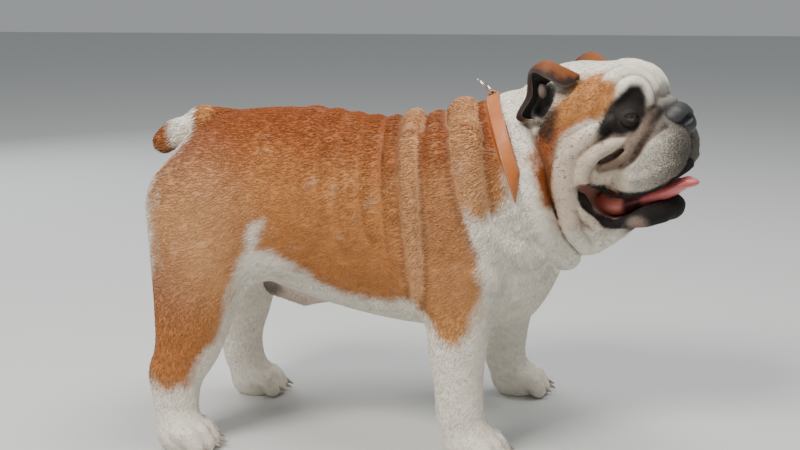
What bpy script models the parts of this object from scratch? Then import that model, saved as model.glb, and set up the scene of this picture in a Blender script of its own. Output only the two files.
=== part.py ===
"""A life-size English bulldog, standing with its head turned a little to its right.

The dog faces +X, its left side is +Y and its soles rest at Z = 0.  Its skin is one
smooth surface worked out from the sizes below: a lofted trunk, tapering limbs and
rounded masses of muscle, blended together, with rolls of loose skin laid on them.
That surface is then parted into head, neck, trunk, legs and paws by thin cuts.
"""
import math

import bmesh
import bpy
import numpy as np
from mathutils import Matrix, Vector

# Gap kept between pieces that touch, and the resolution of the skin
GAP = 0.0003
SKIN_CELL = 0.003
SKIN_TRIANGLES = 7400
DETAIL_FACTOR = 0.001
FAR = 0.045

# Trunk: station along X, height of the back, height of the belly, half width
TRUNK = (
    (-0.270, 0.345, 0.240, 0.062),
    (-0.245, 0.367, 0.215, 0.084),
    (-0.215, 0.378, 0.200, 0.096),
    (-0.180, 0.383, 0.185, 0.100),
    (-0.130, 0.386, 0.166, 0.098),
    (-0.080, 0.382, 0.150, 0.106),
    (-0.030, 0.374, 0.138, 0.119),
    (0.020, 0.374, 0.130, 0.129),
    (0.070, 0.376, 0.126, 0.133),
    (0.120, 0.370, 0.130, 0.126),
    (0.160, 0.335, 0.145, 0.106),
    (0.192, 0.280, 0.190, 0.060),
)
TRUNK_ENDS = (-0.282, 0.200)
TRUNK_END_ROUNDING = 0.06
TRUNK_MIDDLE = (-0.03, 0.0, 0.26)
TRUNK_REACH = 0.27
# Masses on the trunk: middle, radii and the blend to what is there
BREAST = ((0.118, 0.0, 0.228), (0.072, 0.096, 0.084), 0.03)
# Shoulder, upper arm and front of the thigh, one each side; last, how much further
# forward the left one sits, because the left legs are ahead
LIMB_MASSES = (
    ((0.062, 0.095, 0.285), (0.076, 0.050, 0.090), 0.03, 0.035),
    ((0.060, 0.112, 0.222), (0.056, 0.036, 0.060), 0.02, 0.035),
    ((-0.150, 0.070, 0.250), (0.060, 0.034, 0.055), 0.03, 0.0175),
)
SHEATH = ((-0.150, 0.0, 0.172, 0.018), (-0.115, 0.0, 0.158, 0.016), (-0.095, 0.0, 0.160, 0.012))

# Legs: side, then joints from the top down as X, Y, Z and radius
FORELEGS = {
    "right": ((0.074, -0.112, 0.205, 0.046), (0.078, -0.119, 0.165, 0.038),
              (0.077, -0.122, 0.130, 0.0335), (0.079, -0.123, 0.090, 0.0285),
              (0.082, -0.124, 0.050, 0.0280), (0.088, -0.124, 0.030, 0.0270)),
    "left": ((0.116, 0.110, 0.205, 0.046), (0.124, 0.116, 0.165, 0.038),
             (0.130, 0.119, 0.130, 0.0325), (0.128, 0.120, 0.090, 0.0275),
             (0.126, 0.120, 0.050, 0.0270), (0.132, 0.121, 0.030, 0.0260)),
}
HINDLEGS = {
    "right": ((-0.218, -0.070, 0.275, 0.070), (-0.221, -0.085, 0.215, 0.060),
              (-0.229, -0.098, 0.160, 0.047), (-0.236, -0.107, 0.120, 0.0385),
              (-0.248, -0.113, 0.086, 0.0310), (-0.250, -0.116, 0.052, 0.0270),
              (-0.248, -0.117, 0.027, 0.0250)),
    "left": ((-0.206, 0.068, 0.275, 0.068), (-0.207, 0.080, 0.210, 0.056),
             (-0.209, 0.086, 0.160, 0.043), (-0.212, 0.088, 0.120, 0.0345),
             (-0.216, 0.089, 0.083, 0.0280), (-0.213, 0.089, 0.050, 0.0265),
             (-0.205, 0.088, 0.028, 0.0250)),
}
LEG_BREADTH = 0.85
# Bump of the heel behind the hock, which is this joint of the hind leg
HOCK_JOINT = 4
HEEL_RADII = (0.010, 0.012, 0.018)
HEEL_INSET = 0.012
# Paws: centre of the foot on the floor, length, width and turn outwards in degrees
FOREPAWS = {"right": (0.101, -0.126, 0.076, 0.068, 8), "left": (0.147, 0.123, 0.076, 0.066, 4)}
HINDPAWS = {"right": (-0.236, -0.118, 0.076, 0.060, 8), "left": (-0.195, 0.089, 0.074, 0.058, 4)}
PAW_HEIGHT = 0.044
# Toes: how far aside and ahead of the paw's middle each tip lies, as shares of its size
TOES = ((-0.36, 0.27), (-0.13, 0.36), (0.13, 0.36), (0.36, 0.27))
TOE_RADIUS = 0.0125
KNUCKLE_HEIGHT = 0.024
TOE_HEIGHT = 0.021

# Tail: a short kinked screw that lies down the rump, as X, Y, Z and radius
TAIL = ((-0.198, 0.000, 0.370, 0.0130), (-0.217, -0.005, 0.373, 0.0125), (-0.234, -0.011, 0.371, 0.0165),
        (-0.249, -0.018, 0.364, 0.0135), (-0.263, -0.026, 0.355, 0.0175), (-0.274, -0.031, 0.347, 0.0150))

# Neck: middle of the throat to the back of the skull, with the collar round its middle
NECK = ((0.050, 0.000, 0.264, 0.098), (0.110, 0.000, 0.296, 0.096), (0.150, -0.003, 0.322, 0.088),
        (0.184, -0.014, 0.344, 0.072))
NECK_BREADTH = 1.10

# Head: its own frame has X to the nose, Y to the dog's left and Z up
HEAD_ORIGIN = np.array((0.232, -0.030, 0.392))
HEAD_YAW = math.radians(-20)
HEAD_PITCH = math.radians(4)
HEAD_BLEND = 0.010

# Masses of the head, in its own frame: middle, radii and the blend to what is there
HEAD_MASSES = (
    ((-0.022, 0.000, 0.000), (0.074, 0.080, 0.054), 0.020),
    ((0.030, 0.000, 0.008), (0.046, 0.060, 0.043), 0.018),
    ((0.060, 0.000, -0.036), (0.042, 0.047, 0.036), 0.020),
    ((0.077, 0.000, -0.012), (0.016, 0.022, 0.015), 0.012),
)
# Masses in pairs, one each side
HEAD_PAIRS = (
    ((-0.012, 0.058, -0.040), (0.048, 0.034, 0.058), 0.022),
    ((0.074, 0.022, -0.044), (0.032, 0.031, 0.033), 0.010),
    ((0.048, 0.036, -0.060), (0.048, 0.025, 0.037), 0.014),
    ((-0.004, 0.050, -0.104), (0.024, 0.022, 0.028), 0.010),
)
LOWER_JAW = ((0.030, 0.000, -0.117), (0.054, 0.044, 0.015), 0.014)
# Rim of the lower jaw from the corner of the mouth to the chin, as X, Y, Z and radius
JAW_RIM = ((-0.004, 0.058, -0.108, 0.012), (0.012, 0.052, -0.124, 0.008), (0.029, 0.047, -0.126, 0.006),
           (0.041, 0.045, -0.122, 0.0095), (0.059, 0.038, -0.118, 0.013), (0.073, 0.025, -0.1145, 0.0135),
           (0.078, 0.010, -0.1125, 0.0130), (0.078, -0.002, -0.1125, 0.0130))
# Loose skin of the throat, joined from the cheeks down to the chest
THROAT = ((-0.042, 0.000, -0.078), (0.050, 0.070, 0.060), 0.03)
DEWLAP = ((-0.030, 0.044, -0.080, 0.034), (-0.014, 0.036, -0.118, 0.028), (-0.012, 0.024, -0.142, 0.022),
          (-0.040, 0.020, -0.146, 0.024))
THROAT_FRONT = ((-0.012, 0.022, -0.140, 0.022), (0.010, 0.018, -0.138, 0.017),
                (0.030, 0.014, -0.124, 0.014))
# Gap of the mouth from its corner forwards, as X, Z and half its height
MOUTH = ((0.002, -0.082, 0.006), (0.010, -0.096, 0.012), (0.022, -0.107, 0.0130), (0.038, -0.107, 0.0095),
         (0.056, -0.100, 0.0062), (0.076, -0.094, 0.0072), (0.092, -0.088, 0.012), (0.130, -0.084, 0.015))
MOUTH_MIDDLE = (0.06, 0.0, -0.09)
MOUTH_REACH = 0.08
# Rounded edges of the upper and the lower lip
LIPS = (
    ((0.002, 0.080, -0.071, 0.0030), (0.017, 0.066, -0.083, 0.0032), (0.024, 0.054, -0.092, 0.0035),
     (0.038, 0.047, -0.095, 0.0040), (0.056, 0.045, -0.092, 0.0040), (0.074, 0.040, -0.085, 0.0040),
     (0.088, 0.031, -0.076, 0.0040), (0.098, 0.016, -0.068, 0.0040), (0.101, 0.000, -0.062, 0.0035)),
    ((-0.002, 0.073, -0.090, 0.0050), (0.004, 0.064, -0.106, 0.0055), (0.014, 0.055, -0.119, 0.0050),
     (0.028, 0.048, -0.124, 0.0040), (0.042, 0.046, -0.117, 0.0042), (0.058, 0.041, -0.109, 0.0044),
     (0.073, 0.027, -0.105, 0.0044), (0.080, 0.012, -0.103, 0.0044), (0.082, -0.002, -0.103, 0.0044)),
)

# Rolls of skin on each side of the head: joints as X, Y, Z and radius, laid on the surface
# nearest to them, and how much of the radius stands proud
FACE_ROLLS = (
    # Outer roll of the cheek, from behind the eye down to the throat
    (((0.032, 0.067, -0.008, 0.0060), (0.014, 0.085, -0.022, 0.0110), (-0.005, 0.092, -0.036, 0.0150),
      (-0.015, 0.091, -0.055, 0.0170), (-0.018, 0.087, -0.076, 0.0170), (-0.018, 0.077, -0.103, 0.0150),
      (-0.018, 0.056, -0.132, 0.0130), (-0.012, 0.042, -0.152, 0.0100)), 0.75, 0.003),
    # Inner roll, from under the eye round the corner of the mouth
    (((0.047, 0.056, -0.033, 0.0060), (0.034, 0.072, -0.035, 0.0090), (0.019, 0.084, -0.041, 0.0110),
      (0.006, 0.089, -0.052, 0.0120), (0.000, 0.087, -0.067, 0.0115), (-0.001, 0.079, -0.088, 0.0105),
      (0.000, 0.068, -0.108, 0.0095), (0.009, 0.059, -0.124, 0.0070)), 0.85, 0.003),
    # Roll from the side of the nose down behind the lip
    (((0.071, 0.034, -0.004, 0.0060), (0.065, 0.042, -0.013, 0.0070), (0.059, 0.051, -0.026, 0.0080),
      (0.050, 0.058, -0.041, 0.0085), (0.037, 0.066, -0.052, 0.0080), (0.024, 0.078, -0.056, 0.0060)),
     0.75, 0.003),
    # Roll over the bridge of the nose
    (((0.071, 0.034, -0.004, 0.0060), (0.077, 0.024, 0.004, 0.0080), (0.081, 0.010, 0.006, 0.0080),
      (0.082, -0.002, 0.006, 0.0080)), 0.60, 0.004),
    # Rolls of the brow
    (((0.036, 0.061, 0.014, 0.0060), (0.041, 0.056, 0.023, 0.0085), (0.047, 0.048, 0.029, 0.0095),
      (0.055, 0.041, 0.029, 0.0095), (0.062, 0.037, 0.021, 0.0085), (0.066, 0.036, 0.008, 0.0070)),
     0.80, 0.004),
    (((0.024, 0.058, 0.030, 0.0070), (0.031, 0.044, 0.040, 0.0095), (0.044, 0.031, 0.042, 0.0100),
      (0.057, 0.024, 0.035, 0.0090), (0.067, 0.021, 0.022, 0.0070)), 0.65, 0.005),
    (((0.022, 0.022, 0.054, 0.0080), (0.040, 0.013, 0.050, 0.0090), (0.055, 0.009, 0.040, 0.0080),
      (0.066, 0.007, 0.026, 0.0060)), 0.45, 0.006),
    # Creases of the temple, between the ear and the eye
    (((0.014, 0.070, 0.038, 0.0060), (0.016, 0.079, 0.020, 0.0075), (0.012, 0.085, 0.003, 0.0060)),
     0.35, 0.005),
    (((-0.004, 0.070, 0.044, 0.0060), (-0.004, 0.082, 0.024, 0.0080), (-0.008, 0.088, 0.000, 0.0060)),
     0.35, 0.005),
    # Lower pad of the lip
    (((0.092, 0.038, -0.058, 0.0060), (0.081, 0.050, -0.064, 0.0080), (0.066, 0.057, -0.071, 0.0080),
      (0.050, 0.060, -0.074, 0.0060)), 0.45, 0.005),
)
# Grooves cut between the rolls, given in the same way
FACE_GROOVES = (
    (((0.052, 0.056, -0.036, 0.0022), (0.037, 0.066, -0.046, 0.0024), (0.022, 0.080, -0.051, 0.0022)),
     0.2, 0.003),
    (((0.083, 0.036, -0.020, 0.0022), (0.071, 0.050, -0.027, 0.0026), (0.060, 0.057, -0.038, 0.0028),
      (0.053, 0.060, -0.050, 0.0026), (0.040, 0.064, -0.060, 0.0022)), 0.2, 0.003),
    (((0.104, 0.000, -0.024, 0.0020), (0.107, 0.000, -0.040, 0.0022), (0.103, 0.000, -0.060, 0.0022)),
     0.2, 0.003),
)

# Rolls of white skin on each side of the neck and chest, in the dog's frame
NECK_ROLLS = (
    (((0.134, 0.080, 0.380, 0.0100), (0.145, 0.097, 0.360, 0.0150), (0.154, 0.105, 0.337, 0.0180),
      (0.158, 0.104, 0.308, 0.0200), (0.161, 0.096, 0.279, 0.0215), (0.166, 0.078, 0.252, 0.0220),
      (0.172, 0.052, 0.233, 0.0210), (0.178, 0.022, 0.222, 0.0170)), 0.78, 0.003),
    (((0.108, 0.136, 0.266, 0.0080), (0.122, 0.132, 0.248, 0.0130), (0.142, 0.119, 0.236, 0.0150),
      (0.161, 0.102, 0.228, 0.0150), (0.178, 0.080, 0.240, 0.0120), (0.190, 0.062, 0.252, 0.0080)),
     0.35, 0.010),
    (((0.100, 0.142, 0.222, 0.0080), (0.125, 0.116, 0.194, 0.0130), (0.149, 0.093, 0.181, 0.0140),
      (0.165, 0.080, 0.190, 0.0120), (0.178, 0.066, 0.206, 0.0080)), 0.30, 0.010),
)

# Eyes, in the head's frame for the left one
EYE_CENTRE = (0.0430, 0.0465, -0.0070)
EYE_RADIUS = 0.0120
EYE_OUTWARD = math.radians(40)
LID_REACH = (0.0104, 0.0066)
LID_RADIUS = 0.0030

# Nose: masses with their radii, and the nostril that is cut into it on each side
NOSE_MASSES = (((0.0870, 0.0, -0.0115), (0.0165, 0.0220, 0.0160)),
               ((0.0935, 0.0, -0.0205), (0.0140, 0.0175, 0.0125)),
               ((0.0860, 0.0165, -0.0135), (0.0150, 0.0120, 0.0135)),
               ((0.0860, -0.0165, -0.0135), (0.0150, 0.0120, 0.0135)))
NOSTRIL = ((0.1045, 0.0085, -0.0120, 0.0044), (0.1015, 0.0165, -0.0150, 0.0050),
           (0.0965, 0.0230, -0.0190, 0.0038), (0.0880, 0.0275, -0.0215, 0.0028))

# Tongue: joints as X, Y, Z and radius across, flattened by a share, and the mass of its root
TONGUE = ((0.010, 0.000, -0.108, 0.030), (0.035, -0.003, -0.1050, 0.030), (0.062, -0.008, -0.0970, 0.026),
          (0.086, -0.014, -0.0890, 0.021), (0.101, -0.019, -0.0825, 0.013))
TONGUE_FLATNESS = 0.42
TONGUE_ROOT = ((0.020, 0.0, -0.107), (0.026, 0.041, 0.015))

# Ear, for the left one: where it leaves the skull, its rim, and the edge that folds over
EAR_ROOT = ((-0.004, 0.058, 0.036), (-0.020, 0.059, 0.037), (-0.038, 0.060, 0.036), (-0.050, 0.058, 0.022),
            (-0.051, 0.060, 0.004), (-0.042, 0.066, -0.006), (-0.030, 0.070, -0.002))
EAR_RIM = ((-0.003, 0.063, 0.041), (-0.016, 0.075, 0.049), (-0.034, 0.082, 0.057), (-0.052, 0.080, 0.050),
           (-0.057, 0.082, 0.022), (-0.068, 0.087, -0.002), (-0.041, 0.080, -0.009))
EAR_EDGE = ((-0.002, 0.066, 0.038), (-0.012, 0.085, 0.030), (-0.031, 0.093, 0.041), (-0.047, 0.088, 0.047),
            (-0.050, 0.085, 0.022), (-0.061, 0.090, 0.000), (-0.037, 0.082, -0.005))
# Hollow under the ear and the burr in it, for the left one: middle and radii
EAR_HOLLOW = ((-0.045, 0.074, 0.021), (0.014, 0.012, 0.023))
EAR_BURR = ((-0.043, 0.072, 0.026), (0.0065, 0.0070, 0.0100))
EAR_THICKNESS = 0.0032
# How far across the leaf its root, belly, rim and folded edge lie, and the belly's bulge
EAR_STATIONS = (0.0, 0.35, 0.75, 1.0)
EAR_BULGE = (-0.004, 0.0, -0.001)
EAR_COLUMNS = 15
EAR_ROWS = 6

# Claws: length and radius at the root
CLAW_LENGTH = 0.011
CLAW_RADIUS = 0.0034
CLAW_TAPER = (1.0, 0.75, 0.25)

# Collar: a flat leather band round the neck, with a metal ring at the nape
COLLAR_CENTRE = np.array((0.1355, -0.002, 0.326))
COLLAR_AXIS = (0.944, 0.0, 0.330)
COLLAR_WIDTH = 0.015
COLLAR_THICKNESS = 0.0035
COLLAR_SIDES = 30
COLLAR_FOLD_DEPTH = 0.006
RING_RADIUS = 0.0112
RING_WIRE = 0.0014
RING_LEAN = 0.55
RING_STEPS = 24
# Leather loop that holds the ring: half its length across the collar, and its radius
LOOP_REACH = 0.006
LOOP_RADIUS = 0.0050

# Triangles kept on the small pieces
NOSE_TRIANGLES = 440
TONGUE_TRIANGLES = 320
TAIL_TRIANGLES = 260
LID_STEPS = 18

# Thin cuts that part the body: a point on each plane and the way it faces
HEAD_CUT = ((0.200, 0.0, 0.240), (0.914, 0.0, 0.406))
NECK_CUT = ((0.120, 0.0, 0.317), (0.944, 0.0, 0.330))
LOIN_CUT = ((-0.060, 0.0, 0.260), (1.0, 0.0, 0.0))
# Blocks that take the legs: X from and to, inner Y, top Z; then the height of the wrist or hock
FORELEG_BLOCKS = {"right": (0.020, 0.150, 0.084, 0.170), "left": (0.070, 0.200, 0.084, 0.170)}
HINDLEG_BLOCKS = {"right": (-0.330, -0.140, 0.030, 0.235), "left": (-0.330, -0.130, 0.030, 0.235)}
WRIST_HEIGHT = 0.052
HOCK_HEIGHT = 0.058

# Rolls of skin round the trunk: X at the top of the back, at mid flank and low down,
# how far round the roll runs in degrees, radius, part that stands proud, and blend
TRUNK_ROLLS = (
    (-0.100, -0.092, -0.090, 96, 0.016, 0.0022, 0.009),
    (-0.074, -0.070, -0.066, 80, 0.014, 0.0020, 0.009),
    (-0.050, -0.045, -0.043, 100, 0.016, 0.0028, 0.009),
    (-0.028, -0.022, -0.008, 90, 0.014, 0.0030, 0.008),
    (-0.004, 0.003, 0.012, 100, 0.011, 0.0036, 0.006),
    (0.018, 0.024, 0.037, 124, 0.013, 0.0090, 0.003),
    (0.046, 0.053, 0.066, 92, 0.012, 0.0026, 0.006),
    (0.076, 0.086, 0.122, 100, 0.021, 0.0105, 0.003),
)
TRUNK_AXIS_HEIGHT = 0.262


def smooth_min(a, b, blend):
    """The smaller of two distances, rounded off where they are alike."""
    share = np.clip(0.5 + 0.5 * (b - a) / blend, 0.0, 1.0)
    return b + (a - b) * share - blend * share * (1.0 - share)


def smooth_max(a, b, blend):
    """The larger of two distances, rounded off where they are alike."""
    return -smooth_min(-a, -b, blend)


def smooth_curve(x, stations, values):
    """A smooth curve through values given at stations."""
    stations = np.asarray(stations)
    values = np.asarray(values)
    slopes = np.gradient(values, stations)
    x = np.clip(x, stations[0], stations[-1])
    i = np.clip(np.searchsorted(stations, x) - 1, 0, len(stations) - 2)
    width = stations[i + 1] - stations[i]
    t = (x - stations[i]) / width
    rise = values[i] * (2 * t**3 - 3 * t**2 + 1) + values[i + 1] * (3 * t**2 - 2 * t**3)
    return rise + width * (slopes[i] * (t**3 - 2 * t**2 + t) + slopes[i + 1] * (t**3 - t**2))


def ellipsoid(points, centre, radii):
    """Distance to an ellipsoid, close to true near its surface."""
    offset = points - np.asarray(centre)
    scaled = np.linalg.norm(offset / radii, axis=1)
    steeper = np.linalg.norm(offset / np.square(radii), axis=1)
    return scaled * (scaled - 1.0) / np.maximum(steeper, 1e-9)


def tapered_rod(points, start, end):
    """Distance to the skin round all balls rolled from one end to the other."""
    offset = points - np.asarray(start[:3])
    along = np.asarray(end[:3]) - np.asarray(start[:3])
    length = max(np.linalg.norm(along), 1e-9)
    along = along / length
    slope = np.clip((end[3] - start[3]) / length, -0.95, 0.95)
    forward = offset @ along
    aside = np.linalg.norm(offset - forward[:, None] * along, axis=1)
    middle = np.clip(forward + slope * aside / math.sqrt(1.0 - slope**2), 0.0, length)
    return np.hypot(aside, forward - middle) - (start[3] + slope * middle)


class Form:
    """A growing solid: the signed distance to it at each of a set of points."""

    def __init__(self, points):
        self.points = points
        self.distance = np.full(len(points), 1.0)

    def reach(self, centre, radius):
        offset = self.points - np.asarray(centre)
        return np.flatnonzero(np.einsum("ij,ij->i", offset, offset) < (radius + FAR) ** 2)

    def add(self, near, distance, blend):
        self.distance[near] = smooth_min(self.distance[near], distance, blend)

    def cut(self, near, distance, blend):
        self.distance[near] = smooth_max(self.distance[near], -distance, blend)

    def add_ellipsoid(self, centre, radii, blend):
        near = self.reach(centre, max(radii))
        self.add(near, ellipsoid(self.points[near], centre, radii), blend)

    def add_chain(self, joints, blend, cut=False, breadth=1.0):
        """A chain of tapered rods; breadth widens it along Y about its first joint."""
        middle = np.mean([joint[:3] for joint in joints], axis=0)
        longest = max(np.linalg.norm(np.subtract(joint[:3], middle)) + joint[3] for joint in joints)
        near = self.reach(middle, longest * max(breadth, 1.0))
        points = self.points[near].copy()
        points[:, 1] = joints[0][1] + (points[:, 1] - joints[0][1]) / breadth
        distance = np.full(len(near), 1.0)
        for start, end in zip(joints, joints[1:]):
            distance = np.minimum(distance, tapered_rod(points, start, end))
        if cut:
            self.cut(near, distance, blend)
        else:
            self.add(near, distance, blend)


def add_trunk(form):
    """The barrel of the body, lofted through the stations."""
    near = form.reach(TRUNK_MIDDLE, TRUNK_REACH)
    points = form.points[near]
    station, top, bottom, width = np.array(TRUNK).T
    x = points[:, 0]
    top = smooth_curve(x, station, top)
    bottom = smooth_curve(x, station, bottom)
    half = 0.5 * (top - bottom)
    width = smooth_curve(x, station, width)
    y = points[:, 1] / width
    z = (points[:, 2] - 0.5 * (top + bottom)) / half
    scaled = np.sqrt(y**2 + z**2)
    steeper = np.sqrt((y / width) ** 2 + (z / half) ** 2)
    barrel = scaled * (scaled - 1.0) / np.maximum(steeper, 1e-9)
    ends = np.maximum(TRUNK_ENDS[0] - x, x - TRUNK_ENDS[1])
    form.add(near, smooth_max(barrel, ends, TRUNK_END_ROUNDING), 0.01)


def paw_frame(paw):
    """Maps a place in a paw, forward, sideways and up, to the dog's frame."""
    x, y, length, width, turn = paw
    angle = math.radians(turn) * (1 if y > 0 else -1)
    forward = np.array((math.cos(angle), math.sin(angle), 0.0))
    side = np.array((-math.sin(angle), math.cos(angle), 0.0))

    def place(ahead, aside, up):
        return np.array((x, y, up)) + ahead * length * forward + aside * width * side

    return place


def toe_joints(paw):
    """The four toes of a paw: knuckle, middle joint and tip of each."""
    place = paw_frame(paw)
    for aside, ahead in TOES:
        knuckle = (*place(ahead - 0.30, aside * 0.85, KNUCKLE_HEIGHT), TOE_RADIUS)
        joint = (*place(ahead - 0.10, aside, TOE_HEIGHT), TOE_RADIUS)
        tip = (*place(ahead, aside * 1.02, TOE_RADIUS * 0.85), TOE_RADIUS * 0.9)
        yield knuckle, joint, tip


def add_leg(form, joints, paw, blend):
    """One leg and its paw with four toes."""
    form.add_chain(resample(joints, 20), blend, breadth=LEG_BREADTH)
    middle = paw_frame(paw)(-0.04, 0.0, 0.016)
    form.add_ellipsoid(middle, (paw[2] * 0.42, paw[3] * 0.42, PAW_HEIGHT * 0.58), 0.014)
    for toe in toe_joints(paw):
        form.add_chain(toe, 0.003)


def add_body(form):
    """Trunk, neck and legs, without the rolls of skin."""
    add_trunk(form)
    form.add_ellipsoid(*BREAST)
    form.add_chain(NECK, 0.025, breadth=NECK_BREADTH)
    for (x, y, z), radii, blend, ahead in LIMB_MASSES:
        form.add_ellipsoid((x, -y, z), radii, blend)
        form.add_ellipsoid((x + ahead, y, z), radii, blend)
    for name in FORELEGS:
        add_leg(form, FORELEGS[name], FOREPAWS[name], 0.02)
        add_leg(form, HINDLEGS[name], HINDPAWS[name], 0.03)
        x, y, z, radius = HINDLEGS[name][HOCK_JOINT]
        form.add_ellipsoid((x - radius + HEEL_INSET, y, z), HEEL_RADII, 0.014)
    form.add_chain(SHEATH, 0.015)


def head_axes():
    """Rows are the head's forward, left and up directions."""
    cos_yaw, sin_yaw = math.cos(HEAD_YAW), math.sin(HEAD_YAW)
    cos_pitch, sin_pitch = math.cos(HEAD_PITCH), math.sin(HEAD_PITCH)
    forward = np.array((cos_yaw * cos_pitch, sin_yaw * cos_pitch, sin_pitch))
    left = np.array((-sin_yaw, cos_yaw, 0.0))
    return np.stack((forward, left, np.cross(forward, left)))


HEAD_AXES = head_axes()


def to_head(points):
    """From the dog's frame to the head's."""
    return (np.asarray(points) - HEAD_ORIGIN) @ HEAD_AXES.T


def from_head(points):
    """From the head's frame to the dog's."""
    return np.asarray(points) @ HEAD_AXES + HEAD_ORIGIN


def add_head(form):
    """Skull, cheeks, muzzle, lower jaw and the open mouth, in the head's frame."""
    for centre, radii, blend in HEAD_MASSES:
        form.add_ellipsoid(centre, radii, blend)
    for (x, y, z), radii, blend in HEAD_PAIRS:
        for side in (-1, 1):
            form.add_ellipsoid((x, side * y, z), radii, blend)
    form.add_ellipsoid(*LOWER_JAW)
    form.add_ellipsoid(*THROAT)
    for side in (-1, 1):
        for joints, blend in ((DEWLAP, 0.014), (THROAT_FRONT, 0.014), (JAW_RIM, 0.008)):
            form.add_chain([(x, side * y, z, radius) for x, y, z, radius in joints], blend)


def mouth_distance(points):
    """Distance to the gap between the lips, which is open right across the mouth."""
    flat = points * (1.0, 0.0, 1.0)
    joints = [(x, 0.0, z, radius) for x, z, radius in MOUTH]
    distance = np.full(len(points), 1.0)
    for start, end in zip(joints, joints[1:]):
        distance = np.minimum(distance, tapered_rod(flat, start, end))
    return distance


def skin_depth(base, origins, directions, reach):
    """Where rays from far outside first meet the skin, as a distance from each origin."""
    steps = np.linspace(reach, 0.0, 121)
    samples = origins[:, None, :] + steps[None, :, None] * directions[:, None, :]
    values = base(samples.reshape(-1, 3)).reshape(len(origins), -1)
    inside = values < 0.0
    first = np.clip(np.argmax(inside, axis=1), 1, len(steps) - 1)
    row = np.arange(len(origins))
    outer, inner = values[row, first - 1], values[row, first]
    share = np.clip(outer / np.maximum(outer - inner, 1e-9), 0.0, 1.0)
    depth = steps[first - 1] + (steps[first] - steps[first - 1]) * share
    return np.where(inside.any(axis=1), depth, 0.0)


def resample(path, count):
    """Points at even steps along a smooth curve through a short path."""
    path = np.asarray(path, dtype=float)
    length = np.concatenate(([0.0], np.cumsum(np.linalg.norm(np.diff(path, axis=0), axis=1))))
    even = np.linspace(0.0, length[-1], count)
    return np.stack([smooth_curve(even, length, column) for column in path.T], axis=1)


def roll_joints(base, origins, directions, radius, proud, reach):
    """A roll of skin laid on the body: its joints, thinner towards both ends."""
    depth = skin_depth(base, origins, directions, reach)
    taper = np.sin(np.linspace(0.0, 1.0, len(origins)) * math.pi).clip(0.0, 1.0) ** 0.5
    radii = radius * (0.5 + 0.5 * taper)
    middle = depth + proud * taper - radii
    return np.column_stack((origins + middle[:, None] * directions, radii))


def trunk_base(points):
    form = Form(points)
    add_body(form)
    return form.distance


def head_base(points):
    form = Form(points)
    add_head(form)
    return form.distance


def body_base(points):
    """Trunk and head together, before any rolls."""
    return smooth_min(trunk_base(points), head_base(to_head(points)), HEAD_BLEND)


def trunk_rolls():
    """Rolls that run over the back and down both sides."""
    rolls = []
    for top, middle, low, spread, radius, proud, blend in TRUNK_ROLLS:
        angles = np.radians(np.linspace(-spread, spread, 41))
        share = np.abs(angles) / math.radians(118)
        x = smooth_curve(share, (0.0, 0.5, 1.0), (top, middle, low))
        origins = np.column_stack((x, np.zeros_like(x), np.full_like(x, TRUNK_AXIS_HEIGHT)))
        directions = np.column_stack((np.zeros_like(x), np.sin(angles), np.cos(angles)))
        rolls.append((roll_joints(trunk_base, origins, directions, radius, proud, 0.24), blend))
    return rolls


def laid_roll(base, joints, side, proud):
    """A roll laid on the skin nearest to its joints: part of its radius stands proud."""
    even = resample(joints, 18)
    places = even[:, :3] * (1.0, side, 1.0)
    radii = even[:, 3]
    step = 0.0005
    for _ in range(5):
        rises = [base(places + step * way) - base(places - step * way) for way in np.eye(3)]
        slope = np.stack(rises, axis=1)
        slope /= np.linalg.norm(slope, axis=1, keepdims=True)
        places = places - slope * base(places)[:, None]
    return np.column_stack((places + slope * ((proud - 1.0) * radii)[:, None], radii))


def laid_on_both_sides(base, rolls):
    """Each roll on the left and the right, with its blend."""
    laid = []
    for joints, proud, blend in rolls:
        for side in (-1, 1):
            laid.append((laid_roll(base, joints, side, proud), blend))
    return laid


TRUNK_ROLL_JOINTS = trunk_rolls()
NECK_ROLL_JOINTS = laid_on_both_sides(body_base, NECK_ROLLS)
FACE_ROLL_JOINTS = laid_on_both_sides(head_base, FACE_ROLLS)
FACE_GROOVE_JOINTS = laid_on_both_sides(head_base, FACE_GROOVES)


def dog(points):
    """Signed distance to the skin of the whole dog."""
    form = Form(points)
    add_body(form)
    for joints, blend in TRUNK_ROLL_JOINTS:
        form.add_chain(joints, blend)
    near = form.reach(HEAD_ORIGIN + (0.0, 0.0, -0.04), 0.15)
    head = Form(to_head(points[near]))
    add_head(head)
    for joints, blend in FACE_ROLL_JOINTS:
        head.add_chain(joints, blend)
    for joints, blend in FACE_GROOVE_JOINTS:
        head.add_chain(joints, blend, cut=True)
    near_mouth = head.reach(MOUTH_MIDDLE, MOUTH_REACH)
    head.cut(near_mouth, mouth_distance(head.points[near_mouth]), 0.004)
    for side in (-1, 1):
        for lip in LIPS:
            head.add_chain([(x, side * y, z, radius) for x, y, z, radius in lip], 0.004)
        (x, y, z), radii = EAR_HOLLOW
        near_ear = head.reach((x, side * y, z), max(radii))
        head.cut(near_ear, ellipsoid(head.points[near_ear], (x, side * y, z), radii), 0.005)
        (x, y, z), radii = EAR_BURR
        head.add_ellipsoid((x, side * y, z), radii, 0.003)
    form.add(near, head.distance, HEAD_BLEND)
    for joints, blend in NECK_ROLL_JOINTS:
        form.add_chain(joints, blend)
    return form.distance


CUBE_CORNERS = np.array([(i, j, k) for i in (0, 1) for j in (0, 1) for k in (0, 1)])
CUBE_EDGES = [(a, b) for a in range(8) for b in range(a + 1, 8)
              if np.abs(CUBE_CORNERS[a] - CUBE_CORNERS[b]).sum() == 1]


def in_one_piece(corners):
    """Whether a set of a cube's corners hangs together along the cube's edges."""
    if not corners:
        return True
    reached = {min(corners)}
    for _ in range(8):
        for a, b in CUBE_EDGES:
            if a in corners and b in corners and (a in reached or b in reached):
                reached |= {a, b}
    return reached == corners


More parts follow.
